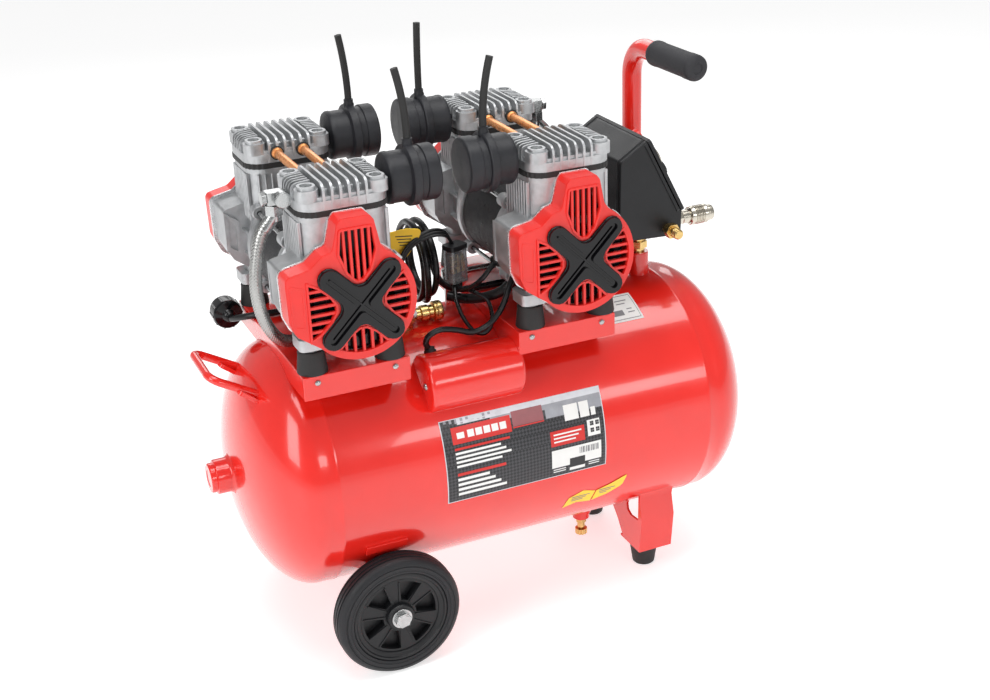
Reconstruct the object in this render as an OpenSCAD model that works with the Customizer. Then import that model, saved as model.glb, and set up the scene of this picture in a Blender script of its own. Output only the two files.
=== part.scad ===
// Portable air compressor: two twin-head oil-free pump units on a horizontal
// receiver tank with wheels, a rear foot bracket and two handles.
// +X runs along the tank towards the tall handle, -Y is the front, +Z is up.

/* [Tank] */
// Outside radius of the receiver
tank_r = 150; // [140:1:155]
// Height of the receiver axis above the floor
tank_z = 227; // [225:1:235]
// Half length of the cylindrical shell
tank_half = 253; // [250:1:258]
// Depth of each domed end
dome = 75; // [70:1:80]
// Sheet thickness of the receiver
tank_wall = 3; // [2:0.5:4]

/* [Pump units] */
// Middle of the left pump unit along X
unit_l = -203; // [-206:1:-200]
// Middle of the right pump unit along X
unit_r = 60; // [58:1:64]
// Height of the motor shafts
shaft_z = 477; // [475:1:479]
// Distance of each cylinder from the middle along Y
cyl_y = 97; // [95:1:99]
// Outer face of the fan covers from the middle along Y
cover_y = 165; // [163:1:168]
// Height of the saddle top plates
saddle_z = 389; // [387:1:391]

/* [Wheels and feet] */
// Outside radius of the wheels
wheel_r = 76; // [70:1:80]
// Tread width of the wheels
wheel_w = 38; // [32:1:40]
// Position of the wheel axis along X
wheel_x = -182; // [-190:1:-175]
// Position of the rubber feet along X
foot_x = 189; // [185:1:195]

/* [Handle] */
// Diameter of the handle tube
tube_d = 25; // [22:1:28]
// Height of the handle's grip axis
grip_z = 643; // [620:1:660]

/* [Hidden] */
$fn = 64;
// puts the middle of the overall length at the origin
SX = 12.5;
boss_x = -353;
hy = 100;
red = [0.85, 0.07, 0.05];
alu = [0.72, 0.72, 0.74];
black = [0.05, 0.05, 0.055];
dark = [0.11, 0.11, 0.12];
brass = [0.78, 0.6, 0.3];
nickel = [0.66, 0.64, 0.6];
units = [unit_l, unit_r];
ends = [-1, 1];
// free power cord: leaves the console's gland, passes under the right pump
// unit to a standing coil between the units, then under the left unit to the
// plug behind it
cord_pts = [[150, 60, 470], [136, 58, 466], [126, 50, 450], [124, 38, 428],
  [118, 26, 408], [100, 19, 395], [80, 16, 393.5], [50, 15, 393.5], [20, 14, 393.5],
  [0, 13, 394], [-20, 9, 396], [-38, 4, 402], [-49, 0, 412]];
tail_pts = [[-74, 84, 414], [-84, 80, 402], [-100, 74, 395], [-130, 68, 393.5],
  [-170, 62, 393.5], [-210, 58, 393.5], [-240, 56, 394], [-258, 58, 395],
  [-272, 66, 392], [-281, 78, 387], [-284, 92, 382]];
coil_c = [-62, 42, 431];
lead_pts = [[-101, -88, 372], [-106, -90, 382], [-102, -92, 392], [-88, -92, 396],
  [-68, -90, 391], [-48, -90, 384], [-30, -90, 388], [-16, -90, 399],
  [-6, -88, 412], [2, -84, 426], [11, -78, 438], [20, -74, 446]];
conduit_pts = [[-46, -14, 402], [-30, -28, 400], [-10, -44, 404], [8, -55, 413],
  [22, -57, 427]];
hose_l_pts = [[-268, -94, 566], [-284, -95, 548], [-292, -95, 522], [-296, -95, 492],
  [-293, -91, 462], [-284, -84, 436], [-270, -74, 416], [-252, -62, 406],
  [-232, -54, 403], [-216, -50, 403]];
hose_r_pts = [[125, 94, 566], [141, 95, 548], [149, 95, 522], [153, 95, 492],
  [150, 91, 462], [141, 84, 436], [127, 74, 416], [109, 62, 406],
  [89, 54, 403], [73, 50, 403]];
// intake snorkels: foot height, then the lean of the tip along X and Y
snorkel_z = 626;
snorkel_xy = [[-9, 3], [-7, 0], [11, 0], [2, 0]];
function snorkel_pts(k) = let (x = k < 2 ? unit_l + 87.1 : unit_r - 87.1, y = k % 2 == 0 ? -95 : 95)
  [for (t = [0:0.2:1]) [x + snorkel_xy[k].x * t * t, y + snorkel_xy[k].y * t * t,
    snorkel_z + (k == 3 ? 79 : 76) * t]];

// ---------- helpers ----------
function sub(a, b) = [a.x - b.x, a.y - b.y, a.z - b.z];
function unit(v) = v / norm(v);
function mixp(a, b, t) = a + (b - a) * t;
function tang(p, i) = unit(sub(p[min(i + 1, len(p) - 1)], p[max(i - 1, 0)]));
// parallel frame along a route, carried from ring to ring
function side0(t) = unit(cross(t, abs(t.z) > 0.9 ? [0, 1, 0] : [0, 0, 1]));
function sides(p, i = 0, s = undef, out = []) =
  i >= len(p) ? out :
  let (t = tang(p, i), q = is_undef(s) ? side0(t) : unit(s - t * (s * t)))
  sides(p, i + 1, q, concat(out, [q]));
module sweep_tube(p, r, n = 10) {
  sd = sides(p);
  pts = [for (i = [0:len(p) - 1]) let (t = tang(p, i), s = sd[i], b = cross(t, s))
    for (k = [0:n - 1]) p[i] + r * (cos(360 * k / n) * s + sin(360 * k / n) * b)];
  m = len(p);
  faces = concat([[for (k = [0:n - 1]) k]],
    [for (i = [0:m - 2]) for (k = [0:n - 1])
      [i * n + k, (i + 1) * n + k, (i + 1) * n + (k + 1) % n, i * n + (k + 1) % n]],
    [[for (k = [n - 1:-1:0]) (m - 1) * n + k]]);
  polyhedron(pts, faces, convexity = 6);
}
module ycyl(x, y0, y1, z, r, r2 = undef)
  translate([x, y0, z]) rotate([-90, 0, 0])
    cylinder(h = y1 - y0, r1 = r, r2 = is_undef(r2) ? r : r2);
module xcyl(x0, x1, y, z, r, r2 = undef)
  translate([x0, y, z]) rotate([0, 90, 0])
    cylinder(h = x1 - x0, r1 = r, r2 = is_undef(r2) ? r : r2);
module zcyl(x, y, z0, z1, r, r2 = undef)
  translate([x, y, z0]) cylinder(h = z1 - z0, r1 = r, r2 = is_undef(r2) ? r : r2);
module hexbar(len, af) cylinder(h = len, d = af / cos(30), $fn = 6);
module rrect(w, h, r) {
  square([w - 2 * r, h], center = true);
  square([w, h - 2 * r], center = true);
  for (sx = ends, sy = ends) translate([sx * (w / 2 - r), sy * (h / 2 - r)]) circle(r);
}
// extrudes an X-Z outline along Y from y0 to y1
module along_y(y0, y1) translate([0, y1, 0]) rotate([90, 0, 0]) linear_extrude(y1 - y0) children();
// extrudes a Y-Z outline along X from x0 to x1
module along_x(x0, x1) translate([x0, 0, 0]) rotate([90, 0, 90]) linear_extrude(x1 - x0) children();
// half profile of the receiver, radius along x and length along y
function dome_pts(r, d, h, s) = [for (i = [0:12]) [r * sin(90 * i / 12), s * (h + d * cos(90 * i / 12))]];
module tank_solid(off) {
  r = tank_r + off;
  d = dome + off;
  rotate([0, 90, 0]) translate([0, 0, 0]) rotate_extrude($fn = 128)
    polygon(concat(dome_pts(r, d, tank_half, -1),
      [for (i = [12:-1:0]) [r * sin(90 * i / 12), tank_half + d * cos(90 * i / 12)]]));
}
module tank_at(off = 0) translate([0, 0, tank_z]) tank_solid(off);

// ---------- tank and frame ----------
module tank() color(red) difference() {
  union() {
    tank_at();
    xcyl(boss_x, -tank_half - dome + 6, 0, tank_z, 18);
    xcyl(boss_x + 7, -tank_half - dome + 6, 0, tank_z, 21);
    zcyl(drain_x, drain_y, 70, 84, 12);
    for (x = [-tank_half + 14, tank_half - 14])
      translate([x - 3, 0, tank_z]) rotate([0, 90, 0])
        rotate_extrude($fn = 128) translate([tank_r - 1, 0]) square([2, 6]);
  }
  translate([0, 0, tank_z]) tank_solid(-tank_wall);
  xcyl(boss_x - 1, -tank_half - dome + 8, 0, tank_z, 10);
  zcyl(drain_x, drain_y, 60, 90, 5);
}
drain_x = 119;
drain_y = -30;

module saddle(cx) color(red) difference() {
  translate([cx - 62, -129, saddle_z - 28]) cube([124, 258, 28]);
  translate([cx - 59, -126, saddle_z - 40]) cube([118, 252, 37]);
  tank_at();
}
module saddle_left() saddle(unit_l + 1);
module saddle_right() saddle(unit_r - 5);

module wheel_brackets() color(red) for (s = ends) difference() {
  union() {
    translate([wheel_x - 24, s > 0 ? 115 : -118, 56]) cube([47, 3, 110]);
    for (x = [-24, 20]) translate([wheel_x + x, s > 0 ? 96 : -118, 56]) cube([3, 22, 110]);
  }
  tank_at();
  ycyl(wheel_x, s * 116.5 - 8, s * 116.5 + 8, wheel_r, 5);
}
module wheel_bolts() color(nickel) for (s = ends) {
  ycyl(wheel_x, s > 0 ? 110 : -162, s > 0 ? 162 : -110, wheel_r, 5);
  translate([wheel_x, s > 0 ? 162 : -168, wheel_r]) rotate([-90, 0, 0]) hexbar(6, 17);
  difference() {
    translate([wheel_x, s > 0 ? 107 : -115, wheel_r]) rotate([-90, 0, 0]) hexbar(8, 17);
    ycyl(wheel_x, -130, 130, wheel_r, 4.9);
  }
}
// wheel hub disc with recessed wedges between its spokes, outer side at +Y
module hub() color(black) translate([wheel_x, 141, wheel_r]) difference() {
  rotate([-90, 0, 0]) rotate_extrude($fn = 96)
    polygon([[5.05, -20], [17, -20], [17, -6], [48, -6], [48, -17], [58, -17],
      [58, 17], [48, 17], [46, 13], [22, 13], [18, 19.8], [5.05, 19.8]]);
  for (a = [0:60:300]) rotate([0, a + 10, 0]) translate([0, 3, 0])
    rotate([-90, 0, 0]) linear_extrude(12)
      polygon([[25, -5], [41, -13], [43, 0], [41, 13], [25, 5]]);
}
module wheel_front_hub() mirror([0, 1, 0]) hub();
module wheel_rear_hub() hub();
module tyre() color([0.08, 0.08, 0.085]) translate([wheel_x, 141, wheel_r])
  rotate([-90, 0, 0]) rotate_extrude($fn = 128)
    polygon([[58, -wheel_w / 2 + 2], [61.5, -wheel_w / 2 + 1], [66.5, -wheel_w / 2 + 4],
      [72, -wheel_w / 2 + 8], [wheel_r, -wheel_w / 2 + 13], [wheel_r, wheel_w / 2 - 7],
      [72, wheel_w / 2 - 2], [66, wheel_w / 2], [58, wheel_w / 2 - 2]]);
module wheel_front_tyre() mirror([0, 1, 0]) tyre();
module wheel_rear_tyre() tyre();

// one leg: a web that faces -X with a curved inner edge, a bent outer flange
// and a foot pad
module foot_leg() difference() {
  union() {
    along_x(165, 168) polygon([[104, 34], [110, 84], [104, 110], [108, 130], [20, 130],
      [20, 77], [32, 70], [46, 56], [56, 42], [62, 34]]);
    along_x(165, 212) polygon([[104, 34], [110, 84], [104, 110], [108, 130],
      [105, 130], [101, 110], [107, 84], [101, 34]]);
    along_x(165, 212) polygon([[104, 34], [104, 37], [54, 37], [54, 34]]);
  }
  along_x(160, 170) polygon([[100, 80], [101, 125], [80, 110], [70, 90], [72, 82], [80, 78]]);
  tank_at();
}
module foot_bracket() color(red) {
  foot_leg();
  mirror([0, 1, 0]) foot_leg();
}
module rubber_feet() color(black) for (s = ends)
  zcyl(foot_x, s * 72.5, 0, 34, 13.5, 16.5);

// carrying bail on the left dome: a straight grip, two bends and two arms
module carry_handle() color(red) difference() {
  translate([-346, 0, 371]) rotate([0, 30, 0]) union() {
    ycyl(0, -28, 28, 0, 5);
    for (s = ends) {
      translate([14, s * 28, 0]) rotate([0, 0, s > 0 ? 90 : 180])
        rotate_extrude(angle = 90) translate([14, 0]) circle(5);
      xcyl(14, 70, s * 42, 0, 5);
    }
  }
  tank_at();
}

module handle_tube() color(red) difference() {
  union() {
    zcyl(266, hy, 320, grip_z - 38, tube_d / 2);
    translate([266, hy - 38, grip_z - 38]) rotate([90, 0, 90])
      rotate_extrude(angle = 90) translate([38, 0]) circle(tube_d / 2);
    ycyl(266, -48, hy - 38, grip_z, tube_d / 2);
  }
  tank_at();
}
module handle_grip() color(dark) difference() {
  translate([266, 0, grip_z]) rotate([-90, 0, 0]) rotate_extrude()
    polygon([[0, -58], [11, -58], [15, -55.5], [16, -52], [16, 36], [14.5, 39], [0, 39]]);
  ycyl(266, -48, 60, grip_z, tube_d / 2);
}

module capacitor_cover() color(red) difference() {
  xcyl(-119, -1, -104, 339, 34.5);
  xcyl(-117, -9, -104, 339, 32.5);
  tank_at();
  translate([-7.4, -129.6, 360.4]) cube([12, 60, 30]);
}

// ---------- console ----------
module console_outline(o = 0)
  polygon([[165 + o, 441 + o], [165 + o, 556 - o], [207 - o * 0.7, 564 - o],
    [255 - o * 1.2, 470 - o * 0.2], [254 - o, 436 + o]]);
module console_housing() color(black) difference() {
  along_y(-50, 84) console_outline();
  along_y(-47.5, 81.5) console_outline(2.5);
  zcyl(220, 0, 430, 446, 8);
  ycyl(232, -55, -40, 449, 6);
  xcyl(245, 260, -20, 447, 6);
  xcyl(160, 170, 60, 470, 4);
}
// frame on the sloped face: origin in its middle, z out of the face
module on_slope() translate([231, 17, 517]) rotate([0, 90 - 27.05, 0]) children();
module console_panel() color(dark) on_slope() difference() {
  translate([-46, -60, 0.02]) cube([92, 120, 5]);
  translate([-41, -55, 3]) cube([82, 110, 5]);
  for (p = [[-12, -26], [-12, 26]]) translate([p.x, p.y, -1]) cylinder(h = 9, r = 17);
  translate([24, 0, -1]) cylinder(h = 9, r = 6.1);
  translate([-28, 0, -1]) cylinder(h = 9, r = 5.1);
}
module gauges() color(nickel) on_slope() for (y = [-26, 26])
  translate([-12, y, 0.02]) difference() {
    cylinder(h = 12, r = 17);
    translate([0, 0, 10]) cylinder(h = 3, r = 15);
  }
module regulator_knob() color(black) on_slope() translate([24, 0, 0]) {
  translate([0, 0, 0.5]) cylinder(h = 6, r = 6);
  difference() {
    translate([0, 0, 6]) cylinder(h = 18, r = 13);
    for (a = [0:30:330]) rotate(a) translate([14, 0, 5]) cylinder(h = 20, r = 2);
  }
}
module power_knob() color(red) on_slope() translate([-28, 0, 0]) {
  translate([0, 0, 0.5]) cylinder(h = 7, r = 5);
  translate([0, 0, 7]) cylinder(h = 8, r = 11);
}
module outlet_pipe() {
  color(red) difference() {
    zcyl(220, 0, 360, 406, 13);
    tank_at();
  }
  color(brass) zcyl(220, 0, 406, 446, 8);
}
module coupler_body() color(brass) difference() {
  union() {
    xcyl(249, 262, -20, 447, 6);
    translate([257.5, -20, 447]) rotate([0, 90, 0]) hexbar(14, 19);
    xcyl(271, 313, -20, 447, 8.5);
    xcyl(305, 313, -20, 447, 10);
  }
  xcyl(285, 320, -20, 447, 5.2);
}
module coupler_sleeve() color(nickel) difference() {
  union() {
    xcyl(280, 305, -20, 447, 12);
    xcyl(298, 302, -20, 447, 12.8);
  }
  xcyl(270, 320, -20, 447, 8.55);
}
module outlet_valve() color(brass) {
  ycyl(232, -58, -45, 449, 6);
  translate([232, -66, 449]) rotate([-90, 0, 0]) hexbar(10, 17);
  ycyl(232, -80, -66, 449, 6.5);
}
module check_valve() color(brass) {
  difference() {
    zcyl(-104, -20, 360, 384, 9);
    tank_at();
  }
  translate([-104, -20, 384]) hexbar(12, 24);
  zcyl(-104, -20, 396, 410, 8);
  xcyl(-92, -66, -20, 389, 8);
  xcyl(-66, -58, -20, 389, 12);
}
module drain_body() color(brass) difference() {
  union() {
    zcyl(drain_x, drain_y, 62, 70, 6);
    translate([drain_x, drain_y, 56]) hexbar(8, 13);
    zcyl(drain_x, drain_y, 48, 56, 5);
  }
  zcyl(drain_x, drain_y, 45, 60, 2.05);
}
module drain_knob() color(brass) {
  zcyl(drain_x, drain_y, 45, 58, 2);
  difference() {
    zcyl(drain_x, drain_y, 38, 46, 8);
    for (a = [0:45:315]) translate([drain_x + 9 * cos(a), drain_y + 9 * sin(a), 37])
      cylinder(h = 12, r = 1.8);
  }
}

// ---------- hoses and wiring ----------
module delivery_hoses() color(nickel) {
  sweep_tube(hose_l_pts, 6.5, 12);
  sweep_tube(hose_r_pts, 6.5, 12);
}
// elbow block on the head's side, hose nut under it, nut at the lower end
module hose_ends(c, m, y, xe, ye) {
  translate([c + m * 62.2 - 11, y - 8, 577]) cube([22, 16, 16]);
  translate([c + m * 65, y, 566.5]) hexbar(10.5, 18);
  translate([xe - 6, ye, 403]) rotate([0, 90, 0]) hexbar(12, 18);
}
module hose_fittings() color(nickel) {
  hose_ends(unit_l, -1, -94, -210, -50);
  xcyl(-204, -104, -50, 403, 4);
  difference() {
    ycyl(-104, -50, -20, 403, 5);
    zcyl(-104, -20, 390, 411, 8);
  }
  hose_ends(unit_r, 1, 94, 67, 50);
  xcyl(-16, 61, 50, 403, 4);
  difference() {
    zcyl(-18, 50, 360, 410, 7);
    tank_at();
  }
}
module power_cord() color(black) sweep_tube(cord_pts, 4, 8);
module cord_tail() color(black) sweep_tube(tail_pts, 4, 8);
module cord_coil() color(black) translate(coil_c) rotate([0, 90, 0])
  rotate_extrude($fn = 64) translate([42, 0]) circle(12, $fn = 24);
module plug() color(black) translate([-284, 92, 382]) rotate([-90, 0, 0]) {
  cylinder(h = 12, r1 = 5.5, r2 = 8);
  translate([0, 0, 12]) cylinder(h = 24, r = 18);
  for (x = [-9.5, 9.5]) translate([x, 0, 36]) cylinder(h = 18, r = 2.4);
}
module cord_gland() color(dark) difference() {
  union() {
    xcyl(162, 168, 60, 470, 4);
    xcyl(150, 165, 60, 470, 9);
  }
  xcyl(140, 170, 60, 470, 2);
}
module wiring() color(black) {
  sweep_tube(lead_pts, 4, 8);
  sweep_tube(conduit_pts, 6, 10);
}

// ---------- pump units ----------
module buffers() color(black) for (c = units, sx = ends, sy = ends)
  zcyl(c + sx * 45, sy * 113, saddle_z, 425, 17, 15);
module stator(c) color(black) difference() {
  ycyl(c, -48, 48, shaft_z, 57);
  ycyl(c, -49, 49, shaft_z, 32);
}
module stator_left() stator(unit_l);
module stator_right() stator(unit_r);
// crankcase, cylinder, tie-rod ears and feet in one casting, modelled at +Y
module pump(c) color(alu) difference() {
  union() {
    ycyl(c, 62, 138, shaft_z, 50);
    ycyl(c, 48, 62, shaft_z, 60);
    ycyl(c, 128, 140, shaft_z, 58);
    translate([c, cyl_y, 500]) linear_extrude(70) rrect(98, 80, 20);
    for (sx = ends) {
      translate([c + sx * 45 - 15, 97, 425]) cube([30, 32, 9]);
      translate([c + sx * 45 - 5, 99, 430]) cube([10, 28, 35]);
    }
    for (sx = ends, sz = ends) ycyl(c + sx * 45, 46, 62, shaft_z + sz * 45, 8);
  }
  ycyl(c, 56, 134, shaft_z, 44);
  ycyl(c, 40, 150, shaft_z, 8.05);
  zcyl(c, cyl_y, 480, 575, 31);
  ycyl(c, 40, 48, shaft_z, 57.1);
}
module pump_rear_left() pump(unit_l);
module pump_front_left() mirror([0, 1, 0]) pump(unit_l);
module pump_rear_right() pump(unit_r);
module pump_front_right() mirror([0, 1, 0]) pump(unit_r);
module gaskets() color(black) for (c = units, s = ends)
  translate([c, s * cyl_y, 570]) linear_extrude(6) difference() {
    rrect(102, 84, 20);
    circle(31);
  }
// finned cylinder head: base slab, ribs along Y and four bolt bosses
module head(c) color(alu) translate([c, cyl_y, 576]) {
  linear_extrude(12) rrect(102, 84, 20);
  translate([0, 0, 12]) linear_extrude(17) {
    for (x = [-30:10:30]) translate([x - 2.5, -40]) square([5, 80]);
    for (sx = ends, sy = ends) translate([sx * 38, sy * 30]) circle(8);
    for (sx = ends, y = [-14:9.5:14.5]) translate([sx * 40 - 9, y - 2]) square([18, 4]);
    square([60, 20], center = true);
  }
}
module head_rear_left() head(unit_l);
module head_front_left() mirror([0, 1, 0]) head(unit_l);
module head_rear_right() head(unit_r);
module head_front_right() mirror([0, 1, 0]) head(unit_r);
module copper_tubes() color([0.85, 0.45, 0.2]) for (c = units, sx = ends)
  ycyl(c + sx * 15.5, -cyl_y + 42, cyl_y - 42, 584, 4.9);

// fan cover outline about the shaft: disc, upper tab and side wings
module cover_outline(o = 0) {
  circle(62 - o);
  polygon([[-33 + o, 50], [-20 + o, 96 - o], [20 - o, 96 - o], [33 - o, 50]]);
  polygon([[-80 + o, -22 + o], [-80 + o, 42 - o], [-68, 52 - o], [0, 40], [0, -40], [-60, -36 + o]]);
}
module louvres(s) {
  for (k = [-2:2]) {
    translate([k * 8 - 1.8, 34 + abs(k) * 2]) square([3.6, 44 - abs(k) * 4]);
    translate([k * 8 - 1.8, -54 + abs(k) * 2]) square([3.6, 18 - abs(k) * 2]);
    translate([-70, k * 9 - 1.8]) square([36 - abs(k) * 3, 3.6]);
    translate([32 + abs(k) * 3, k * 8 - 1.8]) square([22 - abs(k) * 4, 3.6]);
  }
}
module cover(c) color(red) translate([c, 0, shaft_z]) {
  along_y(cover_y - 3, cover_y) difference() { cover_outline(); louvres(); }
  along_y(140, cover_y - 3) difference() { cover_outline(); cover_outline(2.5); }
}
module cover_rear_left() cover(unit_l);
module cover_front_left() mirror([0, 1, 0]) cover(unit_l);
module cover_rear_right() cover(unit_r);
module cover_front_right() mirror([0, 1, 0]) cover(unit_r);
module badges() color(black) for (c = units, s = ends)
  translate([c, s > 0 ? cover_y : -cover_y - 4, shaft_z]) along_y(0, 4) {
    for (a = [45, 135]) rotate(a) { square([92, 24], center = true);
      for (e = ends) translate([e * 46, 0]) circle(12); }
  }
module rotor(c) color(nickel) {
  ycyl(c, -155, 155, shaft_z, 8);
  ycyl(c, -42, 42, shaft_z, 31.5);
  for (s = ends) {
    translate([0, s * cyl_y - 7, 0]) ycyl(c + 4, 0, 14, shaft_z + 4, 16);
    translate([0, s > 0 ? 144 : -156, 0]) difference() {
      ycyl(c, 0, 12, shaft_z, 50);
      for (a = [0:30:330]) translate([c + 34 * cos(a), -1, shaft_z + 34 * sin(a)])
        rotate([-90, 0, 0]) cylinder(h = 20, r = 7);
    }
  }
}
module rotor_left() rotor(unit_l);
module rotor_right() rotor(unit_r);
// intake filters on the inner sides of the heads
module filters() color(dark) for (k = [0, 1], s = ends) {
  m = k == 0 ? 1 : -1;
  translate([units[k] + m * 51.1, s * 95, 586]) rotate([0, m * 90, 0]) rotate_extrude()
    polygon([[0, 0], [8, 0], [8, 8], [28, 8], [28, 30], [34, 31], [34, 40], [28, 41],
      [28, 48], [31, 49], [31, 62], [29, 64], [0, 64]]);
  zcyl(units[k] + m * 87.1, s * 95, 600, snorkel_z, 5.5);
}
module snorkel(k) color(black) sweep_tube(snorkel_pts(k), 4.2, 10);
module snorkel_fl() snorkel(0);
module snorkel_rl() snorkel(1);
module snorkel_fr() snorkel(2);
module snorkel_rr() snorkel(3);

module put() translate([SX, 0, 0]) children();
put() tank();
put() saddle_left();
put() saddle_right();
put() wheel_brackets();
put() wheel_bolts();
put() wheel_front_hub();
put() wheel_front_tyre();
put() wheel_rear_hub();
put() wheel_rear_tyre();
put() foot_bracket();
put() rubber_feet();
put() carry_handle();
put() handle_tube();
put() handle_grip();
put() capacitor_cover();
put() console_housing();
put() console_panel();
put() gauges();
put() regulator_knob();
put() power_knob();
put() outlet_pipe();
put() coupler_body();
put() coupler_sleeve();
put() outlet_valve();
put() check_valve();
put() drain_body();
put() drain_knob();
put() delivery_hoses();
put() hose_fittings();
put() power_cord();
put() cord_coil();
put() cord_tail();
put() plug();
put() cord_gland();
put() wiring();
put() buffers();
put() stator_left();
put() stator_right();
put() pump_front_left();
put() pump_rear_left();
put() pump_front_right();
put() pump_rear_right();
put() head_front_left();
put() head_rear_left();
put() head_front_right();
put() head_rear_right();
put() gaskets();
put() cover_front_left();
put() cover_rear_left();
put() cover_front_right();
put() cover_rear_right();
put() badges();
put() rotor_left();
put() rotor_right();
put() copper_tubes();
put() filters();
put() snorkel_fl();
put() snorkel_rl();
put() snorkel_fr();
put() snorkel_rr();
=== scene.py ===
import bpy
import bmesh
import math
from math import sin, cos, pi, radians
from mathutils import Matrix, Vector
from mathutils.geometry import tessellate_polygon


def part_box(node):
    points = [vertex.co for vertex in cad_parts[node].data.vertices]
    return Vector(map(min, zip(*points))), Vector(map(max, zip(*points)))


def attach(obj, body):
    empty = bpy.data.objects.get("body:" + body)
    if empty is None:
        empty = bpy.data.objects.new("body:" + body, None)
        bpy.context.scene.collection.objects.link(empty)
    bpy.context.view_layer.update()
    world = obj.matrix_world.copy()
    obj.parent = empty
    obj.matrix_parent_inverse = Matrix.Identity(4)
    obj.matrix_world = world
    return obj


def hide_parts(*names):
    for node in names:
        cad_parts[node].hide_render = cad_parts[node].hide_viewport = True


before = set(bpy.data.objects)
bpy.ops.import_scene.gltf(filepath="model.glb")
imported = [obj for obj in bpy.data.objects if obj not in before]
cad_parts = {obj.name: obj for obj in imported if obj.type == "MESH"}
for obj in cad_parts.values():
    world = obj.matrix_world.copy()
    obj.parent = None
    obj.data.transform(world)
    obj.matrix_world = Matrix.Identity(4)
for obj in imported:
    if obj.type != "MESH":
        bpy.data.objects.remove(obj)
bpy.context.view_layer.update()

# ---------------------------------------------------------------- reference
MM = 0.001
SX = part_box("tank")[1].x / MM - 328.0      # design millimetres to the row frame


def V(x, y, z):
    """a point in design millimetres, as metres in the row frame"""
    return Vector(((x + SX) * MM, y * MM, z * MM))


def link(name, data):
    """a new object, linked into the scene"""
    o = bpy.data.objects.new(name, data)
    bpy.context.collection.objects.link(o)
    return o


def mid(node):
    """middle of a CAD node, in millimetres"""
    lo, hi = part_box(node)
    return (lo + hi) / 2 / MM


FOOT_X, FOOT_Y = 45, 113                   # pump feet, from the middle of a unit
TIE = 45                                   # tie bolts, both ways from the shaft
TUBE_X, TUBE_Z = 15.5, 587                 # transfer tubes
FILTER_X, SNORKEL_X, FILTER_Y, FILTER_Z = 51.1, 87.1, 95, 586
BOLT_X, BOLT_Y = 38, 29                    # head bolts, from the cylinder axis
PIPE_Z = 403                               # the pipes under the hoses
TEE_X, TEE_Y = -104, -20                   # where the pipes meet
OUTLET_X, VALVE_X, VALVE_Z = 220, 232, 449

UNITS = [mid("stator_left").x - SX, mid("stator_right").x - SX]
SIDE = ["left", "right"]
ENDS = ((-1, "front"), (1, "rear"))
CORNERS = [(i, j) for i in (-1, 1) for j in (-1, 1)]
SHAFT = mid("stator_left").z
TANK_Z = mid("wheel_bolts").z + 151.0
CYL_Y = abs(mid("head_rear_left").y)
HEAD_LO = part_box("head_rear_left")[0].z / MM
SADDLE_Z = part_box("saddle_left")[1].z / MM


# ---------------------------------------------------------------- materials
def wire(owner, n, **inputs):
    """sets a shader node's inputs: a value is stored, another node's output is linked"""
    for key, value in inputs.items():
        socket = n.inputs[key.replace("_", " ")]
        if isinstance(value, bpy.types.NodeSocket):
            owner.node_tree.links.new(value, socket)
        else:
            socket.default_value = value
    return n


def node(owner, kind, **inputs):
    """a new shader node with its inputs set"""
    return wire(owner, owner.node_tree.nodes.new("ShaderNode" + kind), **inputs)


def surface(m, **inputs):
    """sets inputs of a material's main shader"""
    return wire(m, m.node_tree.nodes["Principled BSDF"], **inputs)


def material(name, base, metal=0.0, rough=0.4, var=0.0, rvar=0.1, scale=60.0,
             bump=0.0, bscale=600.0, coat=0.0, spec=0.5, trans=0.0, ior=1.5):
    """noise varies the colour by var, the roughness by rvar and, if bump is set, the surface"""
    m = bpy.data.materials.new(name)
    m.use_nodes = True
    surface(m, Base_Color=(*base, 1), Metallic=metal, Roughness=rough, Specular_IOR_Level=spec,
            Coat_Weight=coat, Coat_Roughness=0.04, Transmission_Weight=trans, IOR=ior)
    where = node(m, "TexCoord").outputs["Object"]
    cloud = node(m, "TexNoise", Vector=where, Scale=scale, Detail=5).outputs["Fac"]
    span = node(m, "MapRange", Value=cloud, From_Min=0.3, From_Max=0.7,
                To_Min=max(0.02, rough - rvar), To_Max=min(1.0, rough + rvar))
    surface(m, Roughness=span.outputs["Result"])
    if var:
        cr = node(m, "ValToRGB", Fac=cloud)
        dark, pale = cr.color_ramp.elements
        dark.position, pale.position = 0.3, 0.72
        dark.color = (*[c * (1 - var) for c in base], 1)
        pale.color = (*[min(1, c * (1 + var)) for c in base], 1)
        surface(m, Base_Color=cr.outputs["Color"])
    if bump:
        grain = node(m, "TexNoise", Vector=where, Scale=bscale, Detail=3).outputs["Fac"]
        bp = node(m, "Bump", Strength=bump, Distance=0.001, Height=grain)
        surface(m, Normal=bp.outputs["Normal"])
    return m


RED = material("red_enamel", (0.78, 0.016, 0.009), rough=0.2, var=0.05, rvar=0.06,
               scale=14, bump=0.03, bscale=220, coat=0.7)
REDP = material("red_moulded", (0.78, 0.022, 0.016), rough=0.36, var=0.05, rvar=0.06,
                scale=40, bump=0.08, bscale=1400, coat=0.15)
ALU = material("cast_aluminium_sand", (0.50, 0.51, 0.52), metal=0.85, rough=0.4, var=0.16,
               rvar=0.12, scale=90, bump=0.5, bscale=900)
ALU2 = material("machined_aluminium", (0.74, 0.75, 0.76), metal=1.0, rough=0.28, var=0.06,
                rvar=0.08, scale=200, bump=0.1, bscale=1500)
ZINC = material("zinc_plate", (0.46, 0.47, 0.47), metal=1.0, rough=0.24, var=0.14, rvar=0.1,
                scale=180, bump=0.05, bscale=900)
BRASS = material("brass_turned", (0.72, 0.50, 0.20), metal=1.0, rough=0.27, var=0.12,
                 rvar=0.08, scale=150, bump=0.06, bscale=900)
NICKEL = material("nickel_turned", (0.60, 0.56, 0.48), metal=1.0, rough=0.22, var=0.08,
                  rvar=0.07, scale=150, bump=0.04, bscale=900)
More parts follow.
